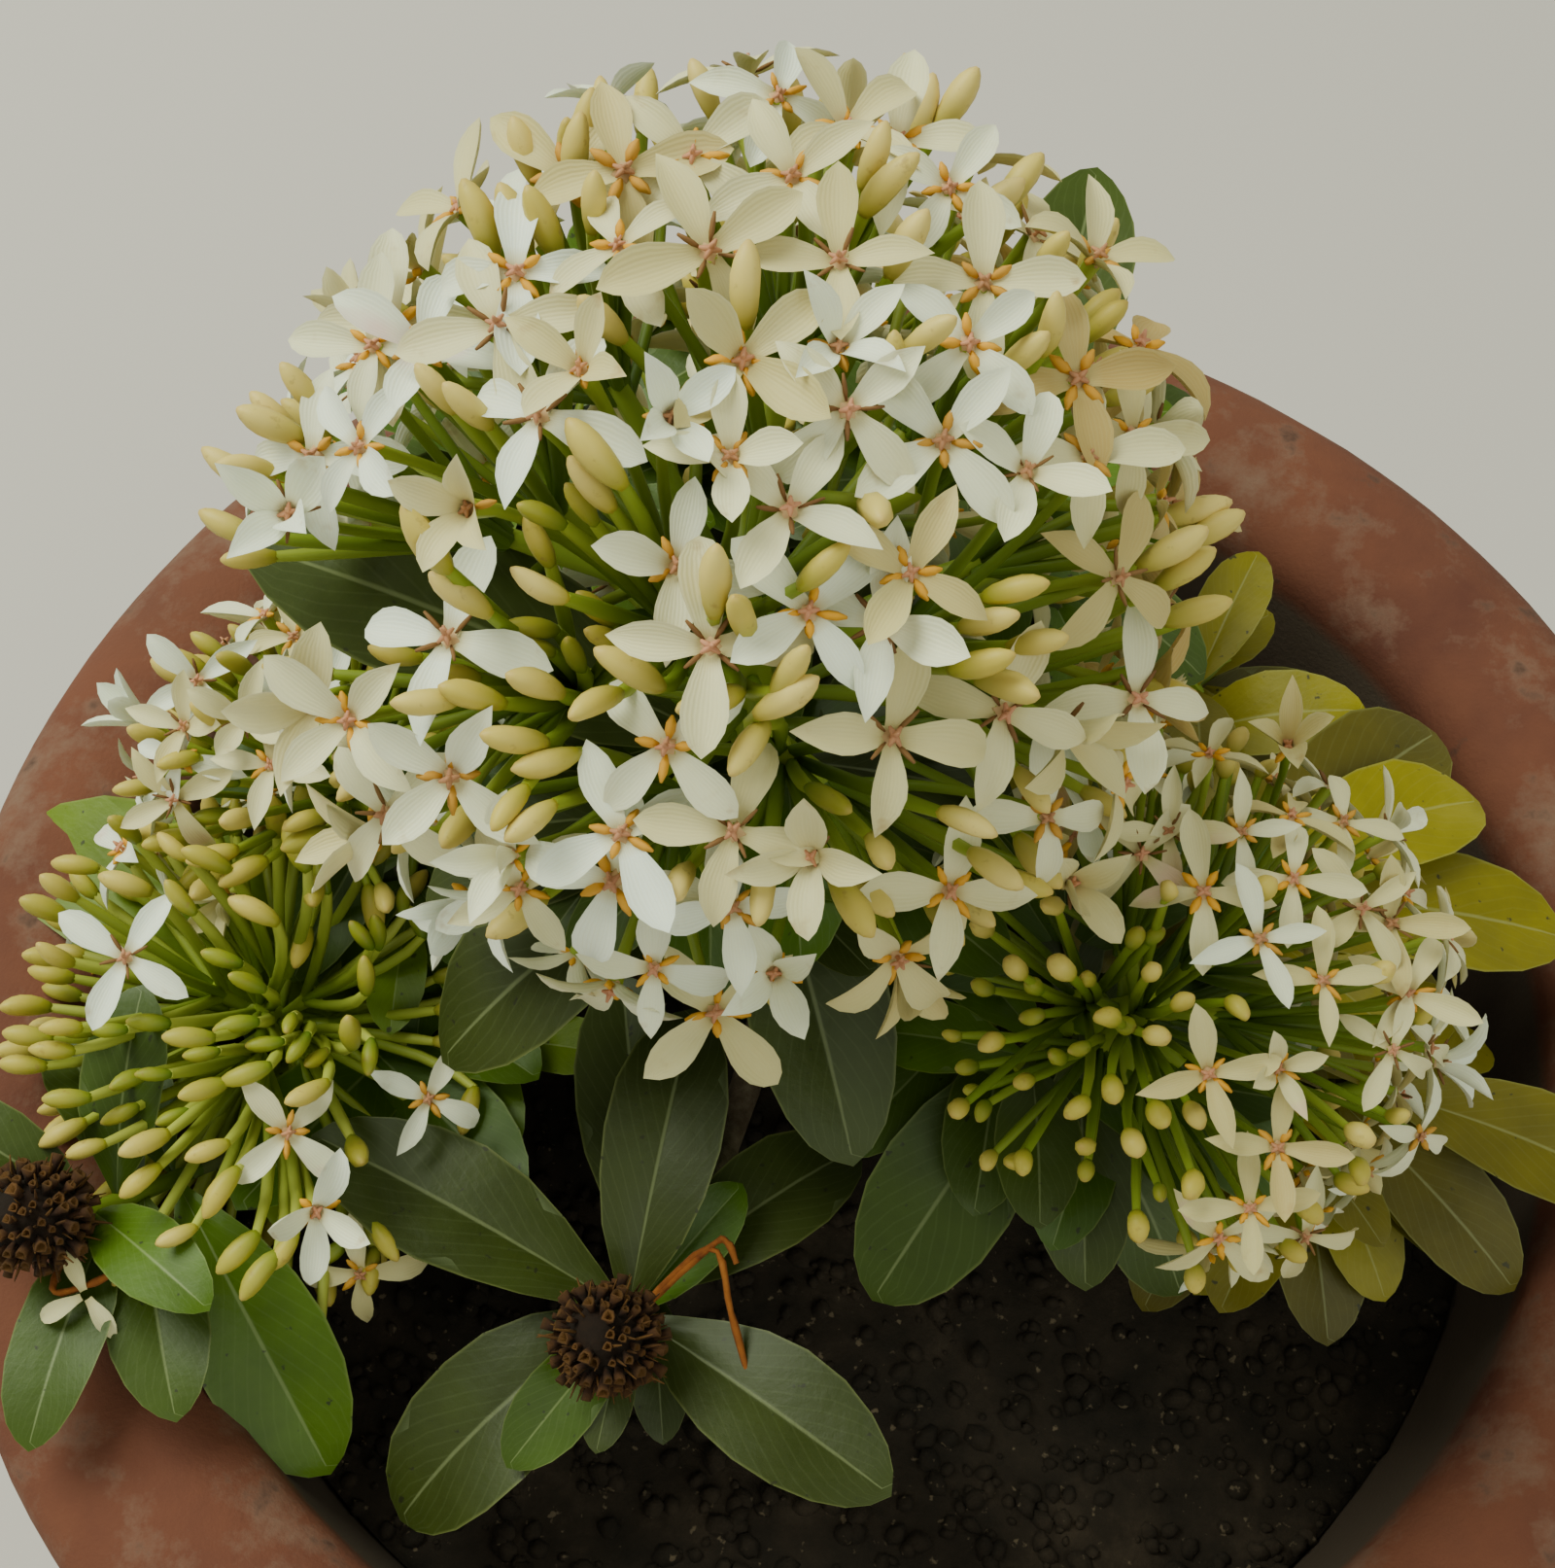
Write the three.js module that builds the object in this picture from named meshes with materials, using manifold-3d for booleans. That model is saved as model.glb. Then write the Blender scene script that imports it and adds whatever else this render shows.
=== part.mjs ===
// A dwarf white ixora in a round terracotta pot.
// Millimetres, Z up. The origin is the centre of the pot's flat underside.
// The shrub is a short trunk, boughs that leave it near the soil, a mass of leaves round each
// bough's tip, and the flower heads that stand out of the masses.
import * as THREE from "three";
import { mergeVertices } from "three/addons/utils/BufferGeometryUtils.js";
import Module from "manifold-3d";

const wasm = await Module();
wasm.setup();

// Sizes that drive the pot and its soil
const pot = {
  height: 300,
  rimRadius: 178, // outside of the rolled rim
  lipRadius: 139, // inside of the rolled rim
  rimRise: 12, // how far the rim's rounded top stands above its sides
  collarHeight: 44,
  bodyRadius: 154, // just under the collar
  baseRadius: 108,
  footEdge: 4, // rounding where the wall meets the ground
  wall: 15,
  floor: 18,
  segments: 36,
};
const soil = { level: 262, edgeDrop: 5 };
const gap = 0.3; // clearance between pieces that touch

// Sizes that drive the plant
const goldenTurn = 137.508;
const trunk = {
  foot: [-14, 22, soil.level + gap],
  waist: [-14, 22, soil.level + 7], // right above the foot, so that the cut there is level
  fork: [-15, 20, 286],
  flareRadius: 13,
  waistRadius: 9.5,
  forkRadius: 8,
  sides: 10,
};
const corolla = { petal: 13.5, halfWidth: 3.7, widest: 8, notch: 1.6, throat: 0.8 };
const bud = { length: 10.5, radius: 2.5, neck: 0.85 };
const tube = { length: 36, halfWidth: 0.65, apart: 1.4 };
const stalk = { radius: 1.6, foot: 0.8, past: 1.5, shortest: 10, climb: 0.5, highest: 0.7 };
const neck = { reach: 0.8, taper: 0.7, sides: 6 }; // shares of the head's rise and hub
const cymeShape = { turnJitter: 18, fanJitter: 2, step: 2.2, reachJitter: 1.2, curl: 2.2, nod: 0.3 };
const spent = { radius: 8, knob: 3.2, lift: 1 };
const leaf = {
  slender: 0.39, // width for a length of 1
  thickness: 1,
  shoulder: [0.34, 0.85], // place along the leaf, and half its width there
  widest: [0.7, 0.95],
  fold: 0.12,
  droop: 0.1,
  droopMore: 0.12,
  turnJitter: 5,
  riseJitter: 4,
  upright: 2.5, // how much the leaves of a leaning stem turn level
};

const degree = Math.PI / 180;
const point = (list) => new THREE.Vector3(...list);

// The same number between 0 and 1 for the same index and salt.
function chance(index, salt) {
  const wave = Math.sin(index * 12.9898 + salt * 78.233) * 43758.5453;
  return wave - Math.floor(wave);
}

function jitter(index, salt, size) {
  return (chance(index, salt) * 2 - 1) * size;
}

// Three directions at right angles: u as near +X as can be, w along the axis.
function frameOf(axis) {
  const w = axis.clone().normalize();
  const u = new THREE.Vector3(1, 0, 0).addScaledVector(w, -w.x).normalize();
  return { u, v: w.clone().cross(u), w };
}

// A direction at an angle from the frame's axis, turned round it.
function directionIn(frame, fromAxis, turn) {
  const side = Math.sin(fromAxis * degree);
  return new THREE.Vector3()
    .addScaledVector(frame.u, side * Math.cos(turn * degree))
    .addScaledVector(frame.v, side * Math.sin(turn * degree))
    .addScaledVector(frame.w, Math.cos(fromAxis * degree));
}

// A closed solid from its corners and triangles.
function solidOf(corners, triangles) {
  return new wasm.Manifold(
    new wasm.Mesh({
      numProp: 3,
      vertProperties: new Float32Array(corners.flatMap((corner) => [corner.x, corner.y, corner.z])),
      triVerts: new Uint32Array(triangles.flat()),
    }),
  );
}

function solidOfGeometry(geometry) {
  geometry.deleteAttribute("normal");
  geometry.deleteAttribute("uv");
  const merged = mergeVertices(geometry, 1e-3);
  const corners = [];
  for (let i = 0; i < merged.attributes.position.count; i += 1) {
    corners.push(new THREE.Vector3().fromBufferAttribute(merged.attributes.position, i));
  }
  const triangles = [];
  for (let i = 0; i < merged.index.count; i += 3) {
    const [a, b, c] = merged.index.array.slice(i, i + 3);
    if (a !== b && b !== c && c !== a) triangles.push([a, b, c]);
  }
  return solidOf(corners, triangles);
}

// A turned solid from its outline of [radius, height] pairs, up the outside and back to the axis.
function turned(outline) {
  const profile = outline.map(([radius, height]) => new THREE.Vector2(radius, height));
  return solidOfGeometry(new THREE.LatheGeometry(profile, pot.segments).rotateX(Math.PI / 2));
}

// A closed limb of a few sides through the points, with a radius at each.
function limb(points, radii, sides) {
  const corners = [];
  const triangles = [];
  let across = null;
  points.forEach((centre, ring) => {
    const before = points[Math.max(ring - 1, 0)];
    const after = points[Math.min(ring + 1, points.length - 1)];
    const along = after.clone().sub(before).normalize();
    across = across ?? frameOf(along).u;
    across = across.clone().addScaledVector(along, -across.dot(along)).normalize();
    const up = along.clone().cross(across);
    for (let side = 0; side < sides; side += 1) {
      const turn = (side / sides) * 2 * Math.PI;
      corners.push(
        centre
          .clone()
          .addScaledVector(across, radii[ring] * Math.cos(turn))
          .addScaledVector(up, radii[ring] * Math.sin(turn)),
      );
    }
  });
  for (let ring = 0; ring < points.length - 1; ring += 1) {
    for (let side = 0; side < sides; side += 1) {
      const a = ring * sides + side;
      const b = ring * sides + ((side + 1) % sides);
      triangles.push([a, b, b + sides], [a, b + sides, a + sides]);
    }
  }
  const last = (points.length - 1) * sides;
  for (let side = 1; side < sides - 1; side += 1) {
    triangles.push([0, side + 1, side], [last, last + side, last + side + 1]);
  }
  return solidOf(corners, triangles);
}

// Points along a smooth curve through the given ones.
function smooth(points, steps) {
  return new THREE.CatmullRomCurve3(points).getPoints(steps);
}

function taper(from, to, steps) {
  return Array.from({ length: steps + 1 }, (_, i) => from + ((to - from) * i) / steps);
}

// The one largest body of a union: loose scraps are dropped and sealed hollows filled.
function wholeBody(solids) {
  const bodies = wasm.Manifold.union(solids).simplify(0.02).decompose();
  return bodies.reduce((best, body) => (body.volume() > best.volume() ? body : best));
}

// Pieces of the part, in the order they are made
const pieces = [];

function boxesApart(a, b, clearance) {
  return [0, 1, 2].some(
    (axis) => a.min[axis] > b.max[axis] + clearance || b.min[axis] > a.max[axis] + clearance,
  );
}

// True where a solid keeps its clearance from every piece made so far.
function isClear(solid, clearance) {
  const box = solid.boundingBox();
  return pieces.every(
    (piece) =>
      boxesApart(box, piece.box, clearance) || solid.minGap(piece.solid, clearance) >= clearance,
  );
}

function keep(name, solid, finish) {
  pieces.push({ name, solid, finish, box: solid.boundingBox() });
}

// Finishes
const finishes = {
  terracotta: { color: 0x8a5240, roughness: 0.85 },
  soil: { color: 0x2e2620, roughness: 1 },
  bark: { color: 0x6b5540, roughness: 0.9 },
  leaves: { color: 0x3f5a2c, roughness: 0.5 },
  yellowLeaves: { color: 0x8f8a35, roughness: 0.55 },
  blossom: { color: 0xe6e0cd, roughness: 0.6 },
  dried: { color: 0x4a2c1c, roughness: 0.95 },
};

// The pot and its soil
function wallRadius(height) {
  const rise = (height - pot.floor) / (pot.height - pot.rimRise - pot.floor);
  return pot.baseRadius - pot.wall + rise * (pot.lipRadius - pot.baseRadius + pot.wall);
}

function potSolid() {
  const collarFoot = pot.height - pot.collarHeight;
  const rimMiddle = (pot.rimRadius + pot.lipRadius) / 2;
  const rimHalf = (pot.rimRadius - pot.lipRadius) / 2;
  const rimSteps = 6;
  const outline = [
    [0, 0],
    [pot.baseRadius - pot.footEdge, 0],
    [pot.baseRadius, pot.footEdge],
    [pot.bodyRadius, collarFoot - pot.footEdge],
    [pot.rimRadius - pot.footEdge, collarFoot],
    [pot.rimRadius - 1, collarFoot + pot.footEdge],
  ];
  for (let i = 0; i <= rimSteps; i += 1) {
    const turn = (i / rimSteps) * Math.PI;
    outline.push([
      rimMiddle + rimHalf * Math.cos(turn),
      pot.height - pot.rimRise + pot.rimRise * Math.sin(turn),
    ]);
  }
  outline.push([wallRadius(pot.floor), pot.floor], [0, pot.floor]);
  return turned(outline);
}

function soilSolid() {
  const bottom = pot.floor + gap;
  const edge = soil.level - soil.edgeDrop;
  return turned([
    [0, bottom],
    [wallRadius(bottom) - gap, bottom],
    [wallRadius(edge) - gap, edge],
    [wallRadius(edge) * 0.6, soil.level - 1],
    [trunk.flareRadius + 20, soil.level],
    [0, soil.level],
  ]);
}

keep("pot", potSolid(), finishes.terracotta);
keep("soil", soilSolid(), finishes.soil);

// Limbs made larger by a little more than the clearance, which later pieces are cut by.
const rooms = [];

function roomOf(points, radii, sides) {
  const more = gap * 1.3;
  const first = points[0].clone().sub(points[1]).setLength(more).add(points[0]);
  const last = points.at(-1).clone().sub(points.at(-2)).setLength(more).add(points.at(-1));
  const wide = radii.map((radius) => radius + more);
  return limb([first, ...points, last], [wide[0], ...wide, wide.at(-1)], sides);
}

function cutClear(solid, own) {
  const box = solid.boundingBox();
  const near = rooms.filter((room) => room !== own && !boxesApart(box, room.boundingBox(), 0));
  return wholeBody([near.reduce((body, room) => body.subtract(room), solid)]);
}

// The trunk, from its flat cut at the soil to its fork
const trunkWay = [point(trunk.foot), point(trunk.waist), point(trunk.fork)];
const trunkRadii = [trunk.flareRadius, trunk.waistRadius, trunk.forkRadius];
keep("trunk", limb(trunkWay, trunkRadii, trunk.sides), finishes.bark);
rooms.push(roomOf(trunkWay, trunkRadii, trunk.sides));

// Boughs. start lies in the limb that the bough leaves, through and tip are on its way, and thick
// is its radius where it leaves. The stem carries the mass of leaves on from the tip.
// A pair is [place along the stem, turn of the first leaf, rise, length, length of the second].
const shoots = [
  {
    name: "main",
    start: [-15, 20, 280],
    through: [-17, 14, 316],
    tip: [-20, 8, 346],
    stem: [-21.5, 3.5, 380],
    thick: 4.6,
    pairs: [
      [0.1, 40, -18, 62, 74],
      [0.42, 108, -16, 58, 66],
      [0.7, -164, -8, 64, 50],
      [0.95, 164, 15, 90, 46],
    ],
  },
  {
    name: "right",
    start: [-12, 17, 282],
    through: [14, 0, 300],
    tip: [33, -18, 322],
    stem: [39, -25, 343],
    thick: 3.8,
    pairs: [
      [0.1, -55, -12, 56, 50],
      [0.45, -126, -15, 60, 48],
      [0.85, -88, -16, 46, 40],
    ],
  },
  {
    name: "left_back",
    start: [-17, 22, 277],
    through: [-56, 32, 284],
    tip: [-80, 29, 297],
    stem: [-94, 26, 312],
    thick: 3.4,
    pairs: [
      [0.15, -95, 6, 46, 44],
      [0.5, 176, 24, 46, 40],
      [0.9, -112, 8, 40, 44],
    ],
  },
  {
    name: "left_front",
    start: [-17, 19, 273],
    through: [-52, 8, 274],
    tip: [-83, -6, 279],
    stem: [-102, -12, 288],
    thick: 3.4,
    pairs: [
      [0.12, -106, 40, 62, 34],
      [0.1, 158, 34, 94, 40],
      [0.82, -40, 14, 56, 44],
    ],
  },
  {
    name: "front",
    start: [-14, 17, 276],
    through: [-22, -26, 277],
    tip: [-32, -52, 284],
    stem: [-39, -72, 302],
    thick: 3.4,
    pairs: [
      [0.35, 97, 8, 58, 30],
      [0.62, -142, 3, 62, 52],
      [0.8, 147, 12, 68, 58],
      [0.88, 80, 14, 60, 24],
      [0.85, 55, 16, 32, 34],
    ],
  },
  {
    name: "left_low",
    start: [-74, -2, 277],
    through: [-98, -28, 288],
    tip: [-120, -48, 303],
    stem: [-135, -60, 312],
    thick: 2.6,
    pairs: [
      [0.15, -58, -4, 62, 34],
      [0.45, -64, 17, 44, 36],
      [0.7, -96, 24, 46, 40],
      [0.92, 150, 30, 36, 38],
    ],
  },
  {
    name: "back_left",
    start: [-17, 24, 279],
    through: [-42, 58, 306],
    tip: [-56, 76, 326],
    stem: [-66, 92, 354],
    thick: 3.2,
    pairs: [
      [0.1, 20, -10, 60, 58],
      [0.4, 100, 0, 62, 56],
      [0.68, 35, 12, 56, 54],
      [0.94, 120, 26, 44, 44],
    ],
  },
  {
    name: "back_right",
    start: [-13, 24, 281],
    through: [8, 56, 308],
    tip: [20, 74, 332],
    stem: [27, 86, 358],
    thick: 3.2,
    pairs: [
      [0.05, 15, -14, 46, 56],
      [0.35, 95, -2, 60, 54],
      [0.65, 34, 4, 48, 52],
      [0.94, 78, 28, 60, 42],
    ],
  },
  {
    name: "back",
    start: [-15, 26, 275],
    through: [-16, 62, 284],
    tip: [-14, 88, 298],
    stem: [-12, 108, 318],
    thick: 2.8,
    pairs: [
      [0.1, 25, 0, 58, 56],
      [0.38, -30, 6, 54, 54],
      [0.64, 70, 12, 50, 44],
      [0.95, 20, 26, 40, 40],
    ],
  },
  {
    name: "right_back",
    start: [-10, 22, 276],
    through: [24, 42, 282],
    tip: [52, 58, 292],
    stem: [68, 66, 308],
    thick: 2.8,
    yellow: true,
    pairs: [
      [0.15, 125, 2, 54, 50],
      [0.45, 60, 4, 42, 54],
      [0.72, 10, 10, 38, 50],
      [0.96, 76, 26, 34, 40],
    ],
  },
  {
    name: "right_low",
    start: [16, -1, 302],
    through: [42, 8, 300],
    tip: [60, 12, 309],
    stem: [72, 14, 325],
    thick: 2.6,
    yellow: true,
    pairs: [
      [0.1, -48, -14, 58, 46],
      [0.32, -18, -6, 60, 46],
      [0.55, 4, 6, 72, 42],
      [0.78, 46, 12, 64, 40],
      [0.97, 31, 16, 57, 36],
    ],
  },
  {
    name: "right_front",
    start: [2, 8, 290],
    through: [42, -12, 287],
    tip: [76, -20, 292],
    stem: [98, -19, 307],
    thick: 2.6,
    yellow: true,
    pairs: [
      [0.1, -118, -10, 46, 40],
      [0.4, -77, -6, 46, 40],
      [0.7, -46, 2, 50, 40],
      [0.95, -24, 25, 54, 42],
    ],
  },
];

const boughSteps = 3;
const boughSides = 6;
const tipShare = 0.55; // a bough's tip radius, as a share of its radius at the start

function boughPoints(shoot) {
  return smooth([shoot.start, shoot.through, shoot.tip].map(point), boughSteps);
}

for (const shoot of shoots) {
  const radii = taper(shoot.thick, shoot.thick * tipShare, boughSteps);
  const way = boughPoints(shoot);
  const solid = cutClear(limb(way, radii, boughSides));
  rooms.push(roomOf(way, radii, boughSides));
  keep("bough_" + shoot.name, solid, finishes.bark);
}

const shootNamed = (name) => shoots.find((shoot) => shoot.name === name);
const heading = (shoot) => point(shoot.stem).sub(point(shoot.tip)).normalize();

// Flower heads. The stalks leave foot, and the flowers lie on a round crown of the given reach
// about a middle that is rise further along the axis. spread is how far from the axis the crown
// goes. In a patch, told by its angle from the axis, its turn and its width, the crown is bare,
// in bud, or reaches further out.
const heads = [
  {
    name: "main",
    foot: [-21, 2, 393],
    axis: [-0.12, 0.36, 0.92],
    rise: 34,
    reach: 66,
    hub: 4.4,
    spread: 132,
    cymes: 28,
    flowers: 4,
    fan: 13.5,
    turn: 20,
    seed: 100,
    budShare: 0.1,
    patches: [
      { kind: "far", from: 60, turn: -174, width: 26, more: 0.1 },
      { kind: "far", from: 34, turn: 150, width: 24, more: -0.16 },
      { kind: "far", from: 54, turn: 14, width: 22, more: -0.07 },
      { kind: "bare", from: 50, turn: -133, width: 13 },
      { kind: "bare", from: 82, turn: 178, width: 16 },
      { kind: "bud", from: 46, turn: -107, width: 13, more: -0.08 },
      { kind: "bud", from: 50, turn: -178, width: 7 },
      { kind: "bud", from: 12, turn: -150, width: 8 },
      { kind: "bud", from: 57, turn: -22, width: 8 },
    ],
  },
  {
    name: "right",
    foot: [41.8, -28.2, 353.5],
    axis: [0.36, -0.18, 0.91],
    rise: 19,
    reach: 41,
    hub: 3.4,
    spread: 118,
    cymes: 14,
    flowers: 4,
    fan: 11.5,
    turn: 75,
    seed: 300,
    budShare: 0.06,
    patches: [
      { kind: "bud", from: 70, turn: -160, width: 50, more: -0.05 },
      { kind: "far", from: 40, turn: -85, width: 22, more: 0.1 },
    ],
  },
  {
    name: "left_back",
    foot: [-99, 23.5, 319],
    axis: [-0.32, -0.02, 0.94],
    rise: 12,
    reach: 32,
    hub: 2.6,
    spread: 105,
    cymes: 8,
    flowers: 4,
    fan: 11.5,
    turn: 40,
    seed: 500,
    budShare: 0.2,
    patches: [
      { kind: "bud", from: 75, turn: -75, width: 35 },
      { kind: "far", from: 38, turn: 125, width: 36, more: -0.2 },
    ],
  },
  {
    name: "left_front",
    foot: [-109.9, -13.7, 293.8],
    axis: [-0.22, -0.3, 0.93],
    rise: 16,
    reach: 40,
    hub: 3.2,
    spread: 120,
    cymes: 14,
    flowers: 4,
    fan: 10.5,
    turn: 10,
    seed: 700,
    budShare: 0.88,
    patches: [{ kind: "far", from: 64, turn: -78, width: 42, more: 0.58 }],
  },
  {
    name: "back",
    foot: [-11.2, 115.5, 326],
    axis: [0.02, 0.45, 0.89],
    rise: 14,
    reach: 33,
    hub: 2.6,
    spread: 100,
    cymes: 5,
    flowers: 4,
    fan: 11,
    turn: 0,
    seed: 900,
    budShare: 0.45,
    patches: [],
  },
];

const stemRadius = 1.9;
const stemSides = 4;

// The neck of a head, from the end of its stem up through its foot.
function neckSolid(head) {
  const foot = point(head.foot);
  const axis = point(head.axis).normalize();
  const top = foot.clone().addScaledVector(axis, head.rise * neck.reach);
  const stemEnd = point(shootNamed(head.name).stem);
  const radii = [stemRadius, head.hub, head.hub * neck.taper];
  return limb([stemEnd, foot, top], radii, neck.sides);
}

// A spent head: a knobbly lump of dry flower cups on its stalk.
function spentSolid(foot, lean, seed) {
  const away = spent.radius + spent.knob + spent.lift;
  const middle = foot.clone().addScaledVector(lean.clone().normalize(), away);
  const ball = new THREE.IcosahedronGeometry(spent.radius, 1);
  const lump = mergeVertices(ball.deleteAttribute("normal").deleteAttribute("uv"));
  const corners = lump.attributes.position;
  for (let i = 0; i < corners.count; i += 1) {
    const spot = new THREE.Vector3().fromBufferAttribute(corners, i);
    spot.setLength(spent.radius + spent.knob * chance(seed + i, 14)).add(middle);
    corners.setXYZ(i, spot.x, spot.y, spot.z);
  }
  const twig = limb([foot, middle], [stemRadius, stemRadius], stemSides);
  return cutClear(wholeBody([solidOfGeometry(lump), twig]));
}

// The stems that carry the masses of leaves on from the boughs' tips
const stemWay = (shoot) => [point(shoot.tip), point(shoot.stem)];
const stemRadii = (shoot) => [shoot.thick * tipShare, stemRadius];
for (const shoot of shoots) {
  shoot.room = roomOf(stemWay(shoot), stemRadii(shoot), stemSides);
  rooms.push(shoot.room);
}

for (const name of ["front", "left_low"]) {
  const shoot = shootNamed(name);
  const lean = heading(shoot).add(new THREE.Vector3(0, 0, 1));
  keep("spent_" + name, spentSolid(point(shoot.stem), lean, name.length), finishes.dried);
}

// The leaves of a shoot, in opposite pairs along its stem.
function leavesOf(shoot, shootIndex) {
  const start = point(shoot.tip);
  const end = point(shoot.stem);
  const frame = frameOf(heading(shoot).add(new THREE.Vector3(0, 0, leaf.upright)));
  const found = [];
  shoot.pairs.forEach(([at, turn, rise, first, second], pair) => {
    [first, second].forEach((length, side) => {
      const index = shootIndex * 40 + pair * 2 + side;
      const way = turn + side * 180 + jitter(index, 11, leaf.turnJitter);
      const out = directionIn(frame, 90 - rise + jitter(index, 12, leaf.riseJitter), way);
      const root = start.clone().lerp(end, at);
      const droop = leaf.droop + leaf.droopMore * chance(index, 13);
      found.push({ root, out, length, droop });
    });
  });
  return found;
}

// A thin blade that sags towards its tip, with its two halves folded up a little.
function leafSolid(blade) {
  const flat = new THREE.Vector3(0, 0, 1).cross(blade.out).normalize();
  const up = blade.out.clone().cross(flat);
  const half = (blade.length * leaf.slender) / 2;
  const spot = (along, across, lift) =>
    blade.root
      .clone()
      .addScaledVector(blade.out, along * blade.length)
      .addScaledVector(flat, across * half)
      .addScaledVector(up, lift + Math.abs(across) * half * leaf.fold)
      .add(new THREE.Vector3(0, 0, -blade.droop * along * along * blade.length));
  const corners = [
    spot(0.5, 0, leaf.thickness / 2),
    spot(0.5, 0, -leaf.thickness / 2),
    spot(0, 0, 0),
    spot(leaf.shoulder[0], -leaf.shoulder[1], 0),
    spot(leaf.widest[0], -leaf.widest[1], 0),
    spot(1, 0, 0),
    spot(leaf.widest[0], leaf.widest[1], 0),
    spot(leaf.shoulder[0], leaf.shoulder[1], 0),
  ];
  const triangles = [];
  for (let i = 0; i < 6; i += 1) {
    const a = 2 + i;
    const b = 2 + ((i + 1) % 6);
    triangles.push([0, a, b], [1, b, a]);
  }
  return solidOf(corners, triangles);
}

const necks = heads.map(neckSolid);

shoots.forEach((shoot, shootIndex) => {
  const parts = [limb(stemWay(shoot), stemRadii(shoot), stemSides)];
  for (const blade of leavesOf(shoot, shootIndex)) {
    const solid = leafSolid(blade);
    const offNecks = necks.every((neck) => solid.minGap(neck, gap) >= gap);
    if (offNecks && isClear(solid, gap)) parts.push(solid);
  }
  const finish = shoot.yellow ? finishes.yellowLeaves : finishes.leaves;
  keep("leaves_" + shoot.name, cutClear(wholeBody(parts), shoot.room), finish);
});

// The flowers of a head: where each stands, the way it faces, and the cyme whose stalk bears it.
function flowersOf(head) {
  const frame = frameOf(point(head.axis));
  const foot = point(head.foot);
  const middle = foot.clone().addScaledVector(frame.w, head.rise);
  const found = [];
  for (let cyme = 0; cyme < head.cymes; cyme += 1) {
    const share = (cyme + 0.5) / head.cymes;
    const lift = 1 - share * (1 - Math.cos(head.spread * degree));
    const out = directionIn(frame, Math.acos(lift) / degree, cyme * goldenTurn + head.turn);
    const centre = middle.clone().addScaledVector(out, head.reach);
    const way = centre.clone().sub(foot);
    const knotAt = Math.max(way.length() - tube.length, stalk.shortest) / way.length();
    const knot = foot.clone().addScaledVector(way, knotAt);
    const around = frameOf(out);
    const firstTurn = chance(head.seed + cyme, 2) * 360;
    for (let i = 0; i < head.flowers; i += 1) {
      const index = head.seed + cyme * 5 + i;
      const turn = firstTurn + (i / head.flowers) * 360 + jitter(index, 3, cymeShape.turnJitter);
      const aside = head.fan + jitter(index, 4, cymeShape.fanJitter);
      const offset = directionIn(around, 90, turn).multiplyScalar(aside);
      const aim = centre.clone().add(offset).sub(middle).normalize();
      const step = i % 2 ? cymeShape.step : -cymeShape.step;
      let reach = head.reach + step + jitter(index, 5, cymeShape.reachJitter);
      let kind = chance(index, 6) < head.budShare ? "bud" : "open";
      const seen = middle.clone().addScaledVector(aim, reach).sub(foot).normalize();
      for (const patch of head.patches) {
        const off = seen.angleTo(directionIn(frame, patch.from, patch.turn)) / degree;
        if (off > patch.width) continue;
        if (patch.kind === "far") reach *= 1 + patch.more * (1 - off / patch.width);
        else if (patch.kind === "bud") reach *= 1 + (patch.more ?? 0);
        if (patch.kind !== "far") kind = patch.kind;
      }
      if (kind === "bare") continue;
      const place = middle.clone().addScaledVector(aim, reach);
      const root = knot.clone().addScaledVector(offset, tube.apart / offset.length());
      const facing = place.clone().sub(root).normalize();
      const tilt = directionIn(frameOf(facing), 90, chance(index, 7) * 360);
      const nod = kind === "open" ? cymeShape.nod * chance(index, 8) : 0;
      facing.addScaledVector(tilt, nod).normalize();
      found.push({ cyme, index, kind, knot, root, place, facing, roll: chance(index, 9) * 90 });
    }
  }
  return found;
}

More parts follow.
